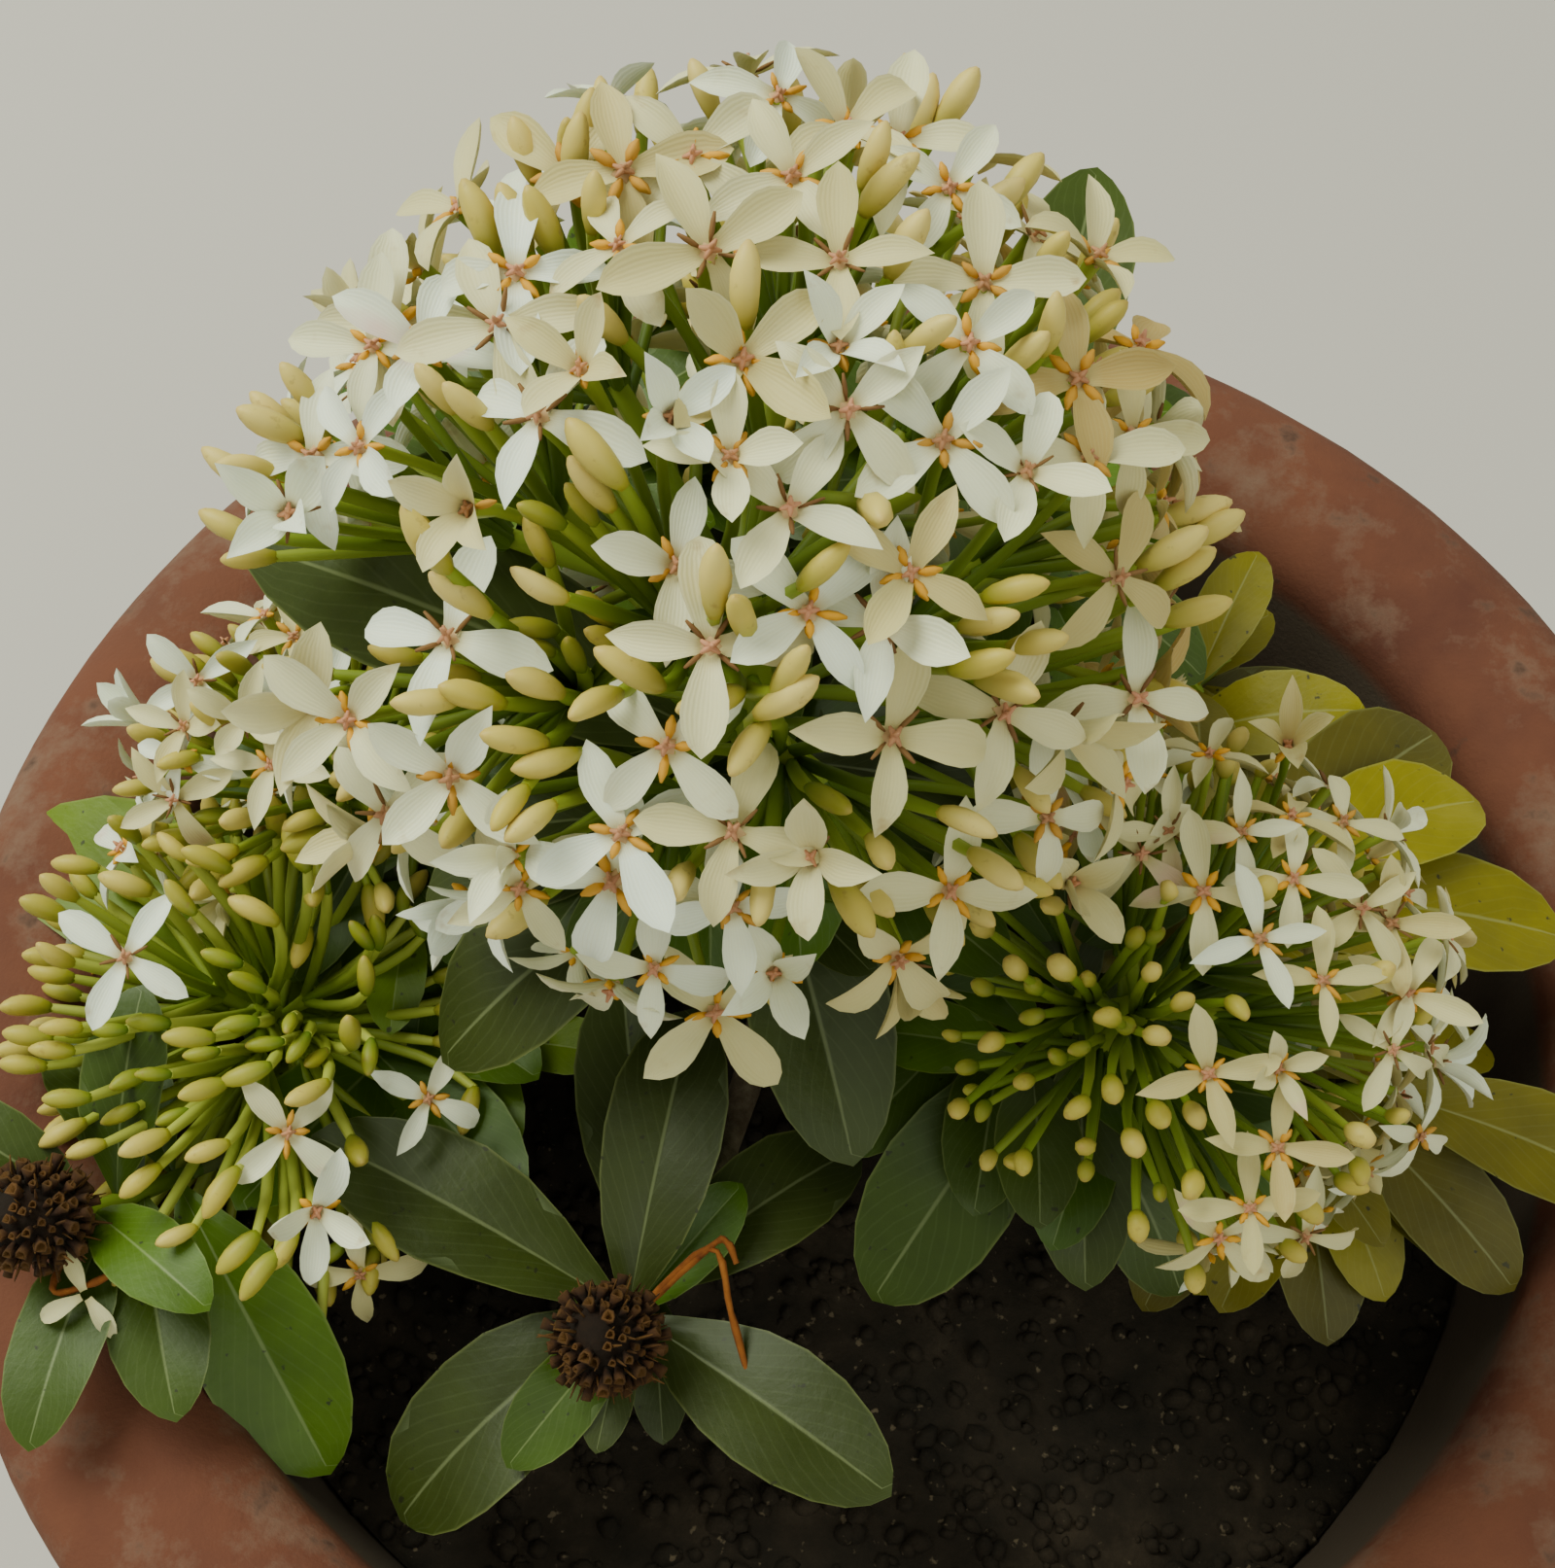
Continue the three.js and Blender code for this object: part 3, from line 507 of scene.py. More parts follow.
# The shoots, each from its bough's start to its tip and its green stem's end. A pair of leaves is
# (place on the stem, turn, rise, length of each leaf), turns and rises in degrees; own holds the
# tints of single leaves, and finer the number of side twigs.
shoots = {
    "main": dict(
        start=(-15, 20, 280), through=(-17, 14, 316), tip=(-20, 8, 346), stem=(-21.5, 3.5, 380),
        thick=4.6, tint=0.15, finer=8,
        pairs=[(0.1, 40, -18, 62, 74), (0.42, 108, -16, 58, 66), (0.7, -164, -8, 64, 50),
        (0.95, 164, 15, 90, 46)]),
    "right": dict(
        start=(-12, 17, 282), through=(14, 0, 300), tip=(33, -18, 322), stem=(39, -25, 343),
        thick=3.8, tint=0.28, finer=6,
        pairs=[(0.1, -55, -12, 56, 50), (0.45, -126, -15, 60, 48), (0.85, -88, -16, 46, 40)]),
    "left_back": dict(
        start=(-17, 22, 277), through=(-56, 32, 284), tip=(-80, 29, 297), stem=(-94, 26, 312),
        thick=3.4, tint=0.45, finer=4,
        pairs=[(0.15, -95, 6, 46, 44), (0.5, 176, 24, 46, 40), (0.9, -112, 8, 40, 44)]),
    "left_front": dict(
        start=(-17, 19, 273), through=(-52, 8, 274), tip=(-83, -6, 279), stem=(-102, -12, 288),
        thick=3.4, tint=0.5, own={(1, 0): 0.82}, finer=5,
        pairs=[(0.12, -106, 40, 62, 34), (0.1, 158, 34, 94, 40), (0.82, -40, 14, 56, 44)]),
    "front": dict(
        start=(-14, 17, 276), through=(-22, -26, 277), tip=(-32, -52, 284), stem=(-39, -72, 302),
        thick=3.4, tint=0.12, own={(4, 0): 0.5, (4, 1): 0.4},
        pairs=[(0.35, 97, 8, 58, 30), (0.62, -142, 3, 62, 52), (0.8, 147, 12, 68, 58),
        (0.88, 80, 14, 60, 24), (0.85, 55, 16, 32, 34)]),
    "left_low": dict(
        start=(-74, -2, 277), through=(-98, -28, 288), tip=(-120, -48, 303), stem=(-135, -60, 312),
        thick=2.6, tint=0.3, own={(0, 0): 0.62, (3, 1): 0.6, (3, 0): 0.3},
        pairs=[(0.15, -58, -4, 62, 34), (0.45, -64, 17, 44, 36), (0.7, -96, 24, 46, 40),
        (0.92, 150, 30, 36, 38)]),
    "back_left": dict(
        start=(-17, 24, 279), through=(-42, 58, 306), tip=(-56, 76, 326), stem=(-66, 92, 354),
        thick=3.2, tint=0.3, finer=7,
        pairs=[(0.1, 20, -10, 60, 58), (0.4, 100, 0, 62, 56), (0.68, 35, 12, 56, 54),
        (0.94, 120, 26, 44, 44)]),
    "back_right": dict(
        start=(-13, 24, 281), through=(8, 56, 308), tip=(20, 74, 332), stem=(27, 86, 358),
        thick=3.2, tint=0.3, finer=7,
        pairs=[(0.05, 15, -14, 46, 56), (0.35, 95, -2, 60, 54), (0.65, 34, 4, 48, 52),
        (0.94, 78, 28, 60, 42)]),
    "back": dict(
        start=(-15, 26, 275), through=(-16, 62, 284), tip=(-14, 88, 298), stem=(-12, 108, 318),
        thick=2.8, tint=0.35, finer=7,
        pairs=[(0.1, 25, 0, 58, 56), (0.38, -30, 6, 54, 54), (0.64, 70, 12, 50, 44),
        (0.95, 20, 26, 40, 40)]),
    "right_back": dict(
        start=(-10, 22, 276), through=(24, 42, 282), tip=(52, 58, 292), stem=(68, 66, 308),
        thick=2.8, tint=0.66, own={(3, 0): 0.92, (2, 0): 0.5, (3, 1): 0.8}, finer=5,
        pairs=[(0.15, 125, 2, 54, 50), (0.45, 60, 4, 42, 54), (0.72, 10, 10, 38, 50),
        (0.96, 76, 26, 34, 40)]),
    "right_low": dict(
        start=(16, -1, 302), through=(42, 8, 300), tip=(60, 12, 309), stem=(72, 14, 325),
        thick=2.6, tint=0.72, own={(2, 0): 0.88, (3, 0): 0.6, (4, 0): 1.0}, finer=3,
        pairs=[(0.1, -48, -14, 58, 46), (0.32, -18, -6, 60, 46), (0.55, 4, 6, 72, 42),
        (0.78, 46, 12, 64, 40), (0.97, 31, 16, 57, 36)]),
    "right_front": dict(
        start=(2, 8, 290), through=(42, -12, 287), tip=(76, -20, 292), stem=(98, -19, 307),
        thick=2.6, tint=0.66, own={(3, 0): 0.72, (1, 0): 0.55}, finer=4,
        pairs=[(0.1, -118, -10, 46, 40), (0.4, -77, -6, 46, 40), (0.7, -46, 2, 50, 40),
        (0.95, -24, 25, 54, 42)]),
}

# The flower heads. A patch is (what stands there, degrees from the axis, turn, width in
# degrees, how much farther it reaches). The cream pair of a head, beside the petals' real age,
# is painted light and shade: the petals turn creamier towards the right of the head, its shaded
# side, and the heads on the left, in the light, are whiter. The tint of the tubes is painted
# shade in part: darker on the heads in shade.
heads = {
    "main": dict(
        foot=(-21, 2, 393), axis=(-0.12, 0.36, 0.92), rise=34, reach=66, hub=4.4, spread=132,
        cymes=28, flowers=4, fan=13.5, turn=20, seed=100, budShare=0.1, finer=330, closest=7.2,
        roomy=9.6, flowerSize=0.94, budTint=0.25, budSize=0.9, budRound=0.86, petalWide=1.0,
        seenGap=8.5, tubeWide=1.12, creamAndShade=(-0.04, 0.28), tubeTintAndShade=0.72, budLean=(0, 0),
        patches=[("far", 60, -174, 26, 0.1), ("far", 34, 150, 24, -0.16),
        ("far", 54, 14, 22, -0.07), ("bare", 50, -133, 13, 0), ("bare", 82, 178, 16, 0),
        ("bud", 46, -107, 13, -0.08), ("bud", 50, -178, 7, 0), ("bud", 12, -150, 8, 0),
        ("bud", 57, -22, 8, 0)]),
    "right": dict(
        foot=(41.8, -28.2, 353.5), axis=(0.36, -0.18, 0.91), rise=19, reach=41, hub=3.4,
        spread=118, cymes=14, flowers=4, fan=11.5, turn=75, seed=300, budShare=0.06, finer=190,
        closest=5.6, roomy=8.2, flowerSize=0.78, budTint=0.4, budSize=0.42, budRound=1.65,
        petalWide=0.8, seenGap=8, tubeWide=0.8, creamAndShade=(0, 0), tubeTintAndShade=0.85, budLean=(0, 0),
        patches=[("bud", 70, -160, 50, -0.05), ("far", 40, -85, 22, 0.1)]),
    "left_back": dict(
        foot=(-99, 23.5, 319), axis=(-0.32, -0.02, 0.94), rise=12, reach=32, hub=2.6, spread=105,
        cymes=8, flowers=4, fan=11.5, turn=40, seed=500, budShare=0.2, finer=90, closest=6.2,
        roomy=8.6, flowerSize=0.85, budTint=0.5, budSize=0.85, budRound=0.95, petalWide=0.9,
        seenGap=7.5, tubeWide=0.9, creamAndShade=(-0.25, 0), tubeTintAndShade=0.5, budLean=(-0.6, 0),
        patches=[("bud", 75, -75, 35, 0), ("far", 38, 125, 36, -0.2)]),
    "left_front": dict(
        foot=(-109.9, -13.7, 293.8), axis=(-0.22, -0.3, 0.93), rise=16, reach=40, hub=3.2,
        spread=120, cymes=14, flowers=4, fan=10.5, turn=10, seed=700, budShare=0.88, finer=170,
        closest=5.4, roomy=99, flowerSize=0.88, budTint=0.58, budSize=0.82, budRound=0.95,
        petalWide=0.9, seenGap=14, tubeWide=1.12, creamAndShade=(-0.3, 0), tubeTintAndShade=0.2,
        budLean=(-1.5, 0.1),
        patches=[("far", 64, -78, 42, 0.58)]),
    "back": dict(
        foot=(-11.2, 115.5, 326), axis=(0.02, 0.45, 0.89), rise=14, reach=33, hub=2.6, spread=100,
        cymes=5, flowers=4, fan=11, turn=0, seed=900, budShare=0.45, finer=60, closest=6.5,
        roomy=9, flowerSize=0.85, budTint=0.6, budSize=0.85, budRound=0.95, petalWide=0.9,
        seenGap=0, tubeWide=0.95, creamAndShade=(0, 0), tubeTintAndShade=0.6, budLean=(0, 0),
        patches=[]),
}

# What the photograph shows of the heads, as its pixels: the throats of the open flowers, some
# with the turn of a petal in degrees from the right, and the middles of the buds.
photoPlaces = {
    "main": dict(
        flowers=[(405, 335), (435, 358), (385, 356), (515, 337), (531, 281), (585, 181),
        (642, 177), (638, 254, 30), (713, 162), (729, 260), (598, 381, 59), (556, 429, 66),
        (690, 429), (323, 469, 3), (298, 529, 50), (483, 523, 60), (696, 583, 82), (816, 182),
        (800, 100), (872, 134), (924, 146), (976, 194), (864, 270, 5), (1012, 292, 86),
        (764, 370, 47), (862, 358, 44), (996, 354, 45), (872, 422, 45), (752, 470, 0),
        (970, 454, 41), (1056, 486, 68), (812, 526, 55), (1108, 390, 9), (1120, 470),
        (1164, 446, 4), (936, 590, 62), (832, 630, 40), (908, 640, 75), (1148, 594, 52),
        (463, 658, 78), (465, 798, 51), (400, 837), (527, 879, 80), (535, 914, 33), (640, 858, 20),
        (687, 768, 40), (731, 665, 0), (631, 906), (673, 995, 80), (916, 758, 87), (756, 856, 80),
        (836, 880, 88), (976, 916, 84), (1076, 840, 0), (1100, 908, 42), (1032, 732, 72),
        (1168, 720, 3), (752, 932), (796, 1000), (735, 1040), (360, 740), (325, 725)],
        buds=[(538, 150), (596, 127), (627, 123), (588, 150), (500, 219), (527, 219), (554, 223),
        (611, 204), (446, 396), (480, 415), (608, 465), (600, 496), (308, 396), (277, 423),
        (273, 438), (250, 477), (235, 485), (231, 542), (431, 554), (469, 608), (550, 606),
        (550, 698), (438, 725), (481, 714), (604, 721), (527, 760), (562, 787), (650, 683),
        (731, 591), (519, 833), (542, 848), (852, 584), (740, 588), (760, 628), (816, 684),
        (816, 720), (764, 772), (732, 720), (1020, 640), (1016, 684), (1044, 700), (1000, 844),
        (1032, 896), (880, 936), (784, 924), (1052, 912), (1072, 660), (1048, 604), (956, 338),
        (924, 370), (768, 290), (1056, 362), (1088, 330), (940, 90), (956, 114), (988, 98),
        (912, 182), (904, 158), (1132, 246), (1052, 182), (1236, 526), (1252, 542), (1212, 562),
        (1224, 582), (1236, 626), (1240, 628)],
        young=[(554, 527), (596, 515), (554, 554), (608, 625), (546, 641), (519, 664), (515, 683),
        (538, 662), (469, 690), (404, 675), (856, 824), (620, 655), (585, 670)]),
    "right": dict(
        flowers=[(1202, 856), (1276, 856, 5), (1238, 918, 0), (1381, 847, 80), (1400, 935, 35),
        (1295, 966, 14), (1360, 1009, 0), (1448, 1023, 60), (1433, 1080, 62), (1243, 1104, 12),
        (1314, 1099, 24), (1314, 1180, 0), (1286, 1242, 5), (1343, 1270), (1325, 770), (1330, 905),
        (1175, 880), (1430, 950)],
        buds=[(1186, 999), (1138, 1042), (1190, 1066), (1217, 1030), (1276, 1032), (1090, 994),
        (1043, 994), (1017, 1070), (1110, 1142), (1145, 1123), (1167, 1178), (1050, 1197),
        (1195, 1149), (1229, 1149), (1171, 1263), (1231, 1318), (1205, 913), (1302, 913),
        (1440, 1150), (1330, 1290)],
        young=[(1169, 963), (1188, 961), (1160, 1056), (1117, 1006), (1062, 1013), (1010, 1016),
        (974, 1068), (990, 1099), (998, 1123), (1002, 1147), (1052, 1113), (1112, 1080),
        (1195, 1228), (1117, 1206), (1062, 1045), (1085, 1090)]),
    "left_back": dict(
        flowers=[(303, 655), (330, 722), (355, 740), (250, 740), (205, 700), (190, 748),
        (180, 822), (186, 780), (279, 787, 82)],
        buds=[(210, 660), (185, 678), (165, 685), (215, 735), (180, 780), (135, 812), (170, 868),
        (215, 880), (245, 895), (310, 840), (310, 865)],
        young=[(230, 720), (225, 800), (215, 840), (380, 865)]),
    "left_front": dict(
        flowers=[(130, 985, 65), (295, 1165, 40), (325, 1245, 83), (440, 1130, 60), (390, 1350)],
        buds=[(125, 908), (175, 872), (210, 880), (180, 925), (260, 932), (300, 870), (25, 1065),
        (60, 1055), (50, 1080), (20, 1095), (65, 1130), (190, 1067), (205, 1125), (250, 1105),
        (315, 1130), (60, 1165), (85, 1180), (145, 1180), (140, 1215), (220, 1225), (180, 1275),
        (240, 1290), (290, 1290), (260, 1310), (210, 1185), (380, 1310), (450, 1300), (315, 1390),
        (545, 1175), (360, 1060), (75, 887)],
        young=[(48, 928), (330, 900), (430, 945), (370, 960), (390, 955), (378, 1000), (297, 1052),
        (305, 1080), (325, 1092), (380, 1090), (80, 1060), (155, 1105), (130, 1110), (205, 1085),
        (350, 1330), (380, 865), (415, 925), (240, 1050), (270, 1075), (120, 1145), (175, 1150),
        (110, 1060), (150, 1050), (225, 985), (250, 1010)]),
}
# Where the photograph shows leaves or shade through a head: (x, y, radius) in its pixels.
photoGaps = {
    "main": [(330, 595, 75), (400, 610, 50), (250, 650, 60), (790, 740, 45), (575, 490, 25)],
    "right": [(1150, 1010, 40), (1040, 1080, 40), (1130, 1290, 90)],
    "left_front": [(400, 1010, 60), (300, 960, 40)],
    "leaves": [(1280, 430, 60), (905, 1236, 60)],
}
# How a flower at such a place is set, and how far from it those of the rule may stand.
photoSetting = {"toCamera": 0.55, "budToCamera": 0.2, "budAside": 1.0, "budTilt": 0.45,
                "deepYoung": 0.86, "budOut": 1.05, "outermost": 1.07, "openApart": 11,
                "ruleApart": 10, "budsApart": 12, "front": 0.1}


def inGap(name, place):
    x, y = pixelOf(place)
    return any(math.hypot(x - a, y - b) < radius for a, b, radius in photoGaps.get(name, []))


# The pot, with thrower's ridges on its wall, a rolled rim and a slight wobble all over, which
# is of waves as (layer, number across, height, share).
potSizes = {
    "height": 300, "rimRadius": 178, "lipRadius": 139, "rimRise": 12, "collarHeight": 44,
    "bodyRadius": 154, "baseRadius": 108, "footEdge": 4, "wall": 15, "floor": 18,
    "segments": 144, "wallSteps": 40, "rimSteps": 14, "wobble": 0.5, "ridgeEvery": 7.0,
    "ridge": 0.25, "collarFlare": 0.7, "insideSteps": (0.015, 0.05, 0.1, 0.3, 0.5, 0.7, 0.9, 1),
    "wobbles": [(0, 3, 60, 1), (5, 14, 12, 0.5)],
}


# Unglazed terracotta, thrown and fired, then painted with a red wash that has worn and caught
# dust: matt brick red, browner and paler in patches, with a fine sandy grain.
potFinish = {
    "surface": {"Roughness": 0.88, "IOR": 1.45},
    "base": ((14, 5, 0.6), [(0.3, "#5A3026"), (0.5, "#70402F"), (0.7, "#623A2E")]),
    "layers": [((45, 7, 0.7), 0.5, 0.72, 1, "#7C6053"), ((90, 4, 0.6), 0.62, 0.74, 1, "#4A2F27"),
               ("inside", 0, 1, 1, "#56473D")],
    "grain": ((900, 4, 0.6), 0.35, 0.0006),
}


def wallRadius(height):
    top = potSizes["height"] - potSizes["rimRise"]
    bottom = potSizes["baseRadius"] - potSizes["wall"]
    share = (height - potSizes["floor"]) / (top - potSizes["floor"])
    return mix(bottom, potSizes["lipRadius"], share)


def makePot():
    sizes = potSizes
    count, edge, rimFoot = sizes["segments"], sizes["footEdge"], sizes["height"] - sizes["rimRise"]
    collarFoot = sizes["height"] - sizes["collarHeight"]
    rimMiddle = (sizes["rimRadius"] + sizes["lipRadius"]) / 2
    rimHalf = (sizes["rimRadius"] - sizes["lipRadius"]) / 2
    outline = [(sizes["baseRadius"] - edge, 0), (sizes["baseRadius"] - 1, 1),
               (sizes["baseRadius"], edge)]
    for i in range(1, sizes["wallSteps"] + 1):
        share = i / sizes["wallSteps"]
        height = mix(edge, collarFoot - edge, share)
        ridge = sizes["ridge"] * math.sin(height / sizes["ridgeEvery"] * 3)
        outline.append((mix(sizes["baseRadius"], sizes["bodyRadius"], share) + ridge, height))
    outline += [(mix(sizes["bodyRadius"], sizes["rimRadius"], sizes["collarFlare"]),
                 collarFoot - 1.5),
                (sizes["rimRadius"] - edge, collarFoot),
                (sizes["rimRadius"] - 1.5, collarFoot + 2),
                (sizes["rimRadius"] - 1, collarFoot + edge)]
    for i in range(sizes["rimSteps"] + 1):
        turn = math.pi * i / sizes["rimSteps"]
        outline.append((rimMiddle + rimHalf * math.cos(turn),
                        rimFoot + sizes["rimRise"] * math.sin(turn)))
    outer = 1 + len(outline) * count
    for share in sizes["insideSteps"]:
        height = mix(rimFoot, sizes["floor"], share)
        outline.append((wallRadius(height), height))
    corners = [Vector((0, 0, 0))]
    for radius, height in outline:
        for x, y in allRound(count):
            spot = Vector((x, y, 0))
            worn = -sizes["wobble"]
            for layer, across, high, share in sizes["wobbles"]:
                wave = noise.noise(spot * across + Vector((layer, 0, height / high)))
                worn += wave * sizes["wobble"] * share
            swell = 0 if height < edge else worn
            corners.append(spot * (radius + swell) + Vector((0, 0, height)))
    corners.append(Vector((0, 0, sizes["floor"])))
    faces = ringFaces(len(outline), count, 1)
    top = 1 + (len(outline) - 1) * count
    for side in range(count):
        following = (side + 1) % count
        faces.append((0, 1 + following, 1 + side))
        faces.append((len(corners) - 1, top + side, top + following))
    mesh = newMesh("terracotta_pot", corners, faces)
    storeValues(mesh, "inside", [0.0] * outer + [1.0] * (len(corners) - outer))
    pot = newObject("terracotta_pot", mesh, makeFinish("terracotta", **potFinish))
    givePlace(pot, "terracotta", "pot")
    print("pot:", len(faces), "faces")


makePot()


# The soil, with loose crumbs strewn over its top.
soilSizes = {
    "level": 262, "edgeDrop": 5, "flatShare": 0.3, "sink": 1.2, "gap": 0.6, "rimGap": 1.2,
    "rings": 46, "segments": 132, "bumps": 2.6, "bumpWidth": 22, "fineBumps": 1.1,
    "fineWidth": 6, "crumbs": 2600, "crumbSize": (0.5, 2.6), "crumbShapes": 5, "seed": 4,
}


# Damp potting soil: near-black brown, crumbly, with paler dry grains.
soilFinish = {
    "surface": {"Roughness": 0.97, "IOR": 1.4},
    "base": ((60, 6, 0.65), [(0.3, "#1C1713"), (0.55, "#2F261F"), (0.75, "#463A30")]),
    "layers": [((420, 3, 0.5), 0.66, 0.72, 1, "#6B5C4C")],
    "grain": ((380, 5, 0.65), 0.6, 0.0012),
}


def soilHeight(x, y, radius):
    sizes = soilSizes
    edge, flat = wallRadius(sizes["level"] - sizes["edgeDrop"]), sizes["flatShare"]
    height = sizes["level"] - sizes["edgeDrop"] * max(0, (radius / edge - flat) / (1 - flat))
    for broad, high, layer in ((sizes["bumpWidth"], sizes["bumps"], 0),
                               (sizes["fineWidth"], sizes["fineBumps"], 3)):
        height += noise.noise(Vector((x / broad, y / broad, layer))) * high
    return height - sizes["sink"]


# Tree that strews crumbs over the top of the soil, with sizes and turns from one seed.
def buildCrumbTree():
    tree, start = newTree("crumbs on soil", "Crumbs", Ground="Geometry", Shapes="Collection",
                          Density="Float", Smallest="Float", Largest="Float", Seed="Int")
    points = addNode(tree, "GeometryNodeDistributePointsOnFaces", {
        "Mesh": start["Ground"], "Density": start["Density"], "Seed": start["Seed"]})
    size = addNode(tree, "FunctionNodeRandomValue", {
        2: start["Smallest"], 3: start["Largest"], "Seed": start["Seed"]}, data_type="FLOAT")
    turn = addNode(tree, "FunctionNodeRandomValue", {
        0: (0, 0, 0), 1: (6.283, 6.283, 6.283), "Seed": start["Seed"]},
        data_type="FLOAT_VECTOR")
    placed = setShapes(tree, start, points, turn, size)
    return endTree(tree, start, placed, "Crumbs")


def makeSoil():
    sizes = soilSizes
    finish = makeFinish("pottingSoil", **soilFinish)
    count = sizes["segments"]
    bottom = potSizes["floor"] + sizes["gap"]
    foot = wallRadius(bottom) - sizes["gap"]
    rim = wallRadius(sizes["level"] - sizes["edgeDrop"]) - sizes["rimGap"]
    corners = [Vector((0, 0, soilHeight(0, 0, 0)))]
    for ring in range(1, sizes["rings"] + 1):
        radius = rim * ring / sizes["rings"]
        for x, y in allRound(count):
            x, y = radius * x, radius * y
            corners.append(Vector((x, y, soilHeight(x, y, radius))))
    corners += [Vector((foot * x, foot * y, bottom)) for x, y in allRound(count)]
    corners.append(Vector((0, 0, bottom)))
    faces = [(0, 1 + side, 1 + (side + 1) % count) for side in range(count)]
    faces += ringFaces(sizes["rings"] + 1, count, 1, flip=True)
    last = 1 + sizes["rings"] * count
    faces += [(len(corners) - 1, last + (side + 1) % count, last + side)
              for side in range(count)]
    ground = newMesh("potting_soil", corners, faces)
    soil = newObject("potting_soil", ground, finish)
    givePlace(soil, "soil", "soil")
    lumps = []
    for number in range(sizes["crumbShapes"]):
        rings = [((0, 0, -0.8), 0.35, 0), ((0.1, 0, -0.3), 0.95 + 0.2 * chance(number, 31), 0),
                 ((0, 0.1, 0.35), 0.85 + 0.3 * chance(number, 32), 20), ((0, 0, 0.8), 0.3, 0)]
        lumps.append(ringsMesh(f"crumb {number}", rings, 6, 2, 0.2))
    top = newMesh("soil top", corners, faces[:sizes["rings"] * count])
    area = math.pi * (rim * millimetre) ** 2
    crumbs = grow("soil_crumbs", top, buildCrumbTree(), finish, {
        "Shapes": shapeSet("crumb shapes", lumps), "Density": sizes["crumbs"] / area,
        "Smallest": sizes["crumbSize"][0], "Largest": sizes["crumbSize"][1],
        "Seed": sizes["seed"]})
    givePlace(crumbs, "soil")
    print("soil:", len(faces), "faces,", len(crumbs.data.polygons), "on crumbs")


makeSoil()


# The trunk, the boughs and their bark.
barkSizes = {
    "foot": (-14, 22, 261), "waist": (-14, 22, 269), "fork": (-15, 20, 286),
    "flareRadius": 13, "forkRadius": 8, "tipShare": 0.55, "sides": 18, "step": 1.6,
    "relief": 0.1, "fissures": 2.4, "fissureLength": 0.12, "fissureDepth": 1.6,
    "scarEvery": 13.0, "scar": 0.07, "scarSharp": 8,
    "steps": {"foot": 6, "trunk": 12, "bough": 22},
}


# Bark of a young woody shrub: grey-brown, finely fissured lengthwise, with leaf scars; the
# younger wood towards the tips is greener.
barkFinish = {
    "surface": {"Roughness": 0.9, "IOR": 1.45},
    "base": ((160, 6, 0.7), [(0.3, "#3A2E25"), (0.5, "#5C4C3D"), (0.72, "#82725F")]),
    "layers": [("place", 0.45, 1, 1, "#56602F")],
    "grain": ((700, 5, 0.6), 0.5, 0.0008),
}


# One limb of bark: a tapering tube with lengthwise fissures and rings of leaf scars.
def barkLimb(points, radii, seed):
    sizes = barkSizes
    corners, place = [], []
    across = None
    for i, centre in enumerate(points):
        way = (points[min(i + 1, len(points) - 1)] - points[max(i - 1, 0)]).normalized()
        across = frameOf(way)[0] if across is None else (across - way * across.dot(way))
        across = across.normalized()
        other = way.cross(across)
        share = i / (len(points) - 1)
        for x, y in allRound(sizes["sides"]):
            fissure = noise.noise(Vector((x * sizes["fissures"], y * sizes["fissures"],
                                          i * sizes["fissureLength"] + seed * 7)))
            scar = max(0, math.cos(i * sizes["step"] / sizes["scarEvery"] * 2 * math.pi))
            grown = 1 + sizes["relief"] * fissure * sizes["fissureDepth"]
            grown += sizes["scar"] * scar ** sizes["scarSharp"]
            corners.append(centre + (across * x + other * y) * (mix(*radii, share) * grown))
            place.append(share if seed else 0.0)
    return corners, closedFaces(len(points), sizes["sides"]), place


def makeBarkPiece():
    sizes, steps = barkSizes, barkSizes["steps"]
    limbs = [("trunk", smoothThrough([sizes["foot"], sizes["waist"]], steps["foot"])
              + smoothThrough([sizes["waist"], sizes["fork"]], steps["trunk"])[1:],
              (sizes["flareRadius"], sizes["forkRadius"]))]
    for name, shoot in shoots.items():
        way = smoothThrough([shoot["start"], shoot["through"], shoot["tip"]], steps["bough"])
        limbs.append(("bough_" + name, way,
                      (shoot["thick"], shoot["thick"] * sizes["tipShare"])))
    corners, faces, place = [], [], []
    for seed, (name, way, radii) in enumerate(limbs):
        limbCorners, limbFaces, limbPlace = barkLimb(way, radii, seed)
        faces += [tuple(len(corners) + c for c in face) for face in limbFaces]
        corners += limbCorners
        place += limbPlace
    mesh = newMesh("barked_limbs", corners, faces)
    storeValues(mesh, "place", place)
    bark = newObject("barked_limbs", mesh, makeFinish("greyBrownBark", **barkFinish))
    givePlace(bark, "bark", *[name for name, way, radii in limbs])
    print("bark:", len(faces), "faces on", len(limbs), "limbs")


makeBarkPiece()


# Leaf blades. The bends of a shape are (slope at its foot, slope at its tip, twist).
leafShape = {
    "length": 100.0, "width": 39.0, "thick": 1.1, "fold": 0.12, "cup": 0.05, "rib": 1.3,
    "columns": (-1, -0.62, -0.07, 0, 0.07, 0.62, 1),
    "widths": [(0, 0.07), (0.05, 0.13), (0.14, 0.36), (0.28, 0.7), (0.42, 0.91), (0.56, 1),
               (0.7, 0.97), (0.82, 0.8), (0.91, 0.56), (0.965, 0.3), (1, 0)],
    "bends": [(6, -14, 4), (10, -24, -8), (2, -34, 6), (14, -30, 10), (0, -18, -5),
              (12, -44, -4)],
    "wave": 1.6,
}
leafPlacing = {"upright": 2.5, "turnJitter": 5, "riseJitter": 4, "roll": 9, "widthJitter": 0.1,
               "tintJitter": 0.1, "yellowFrom": 0.6}
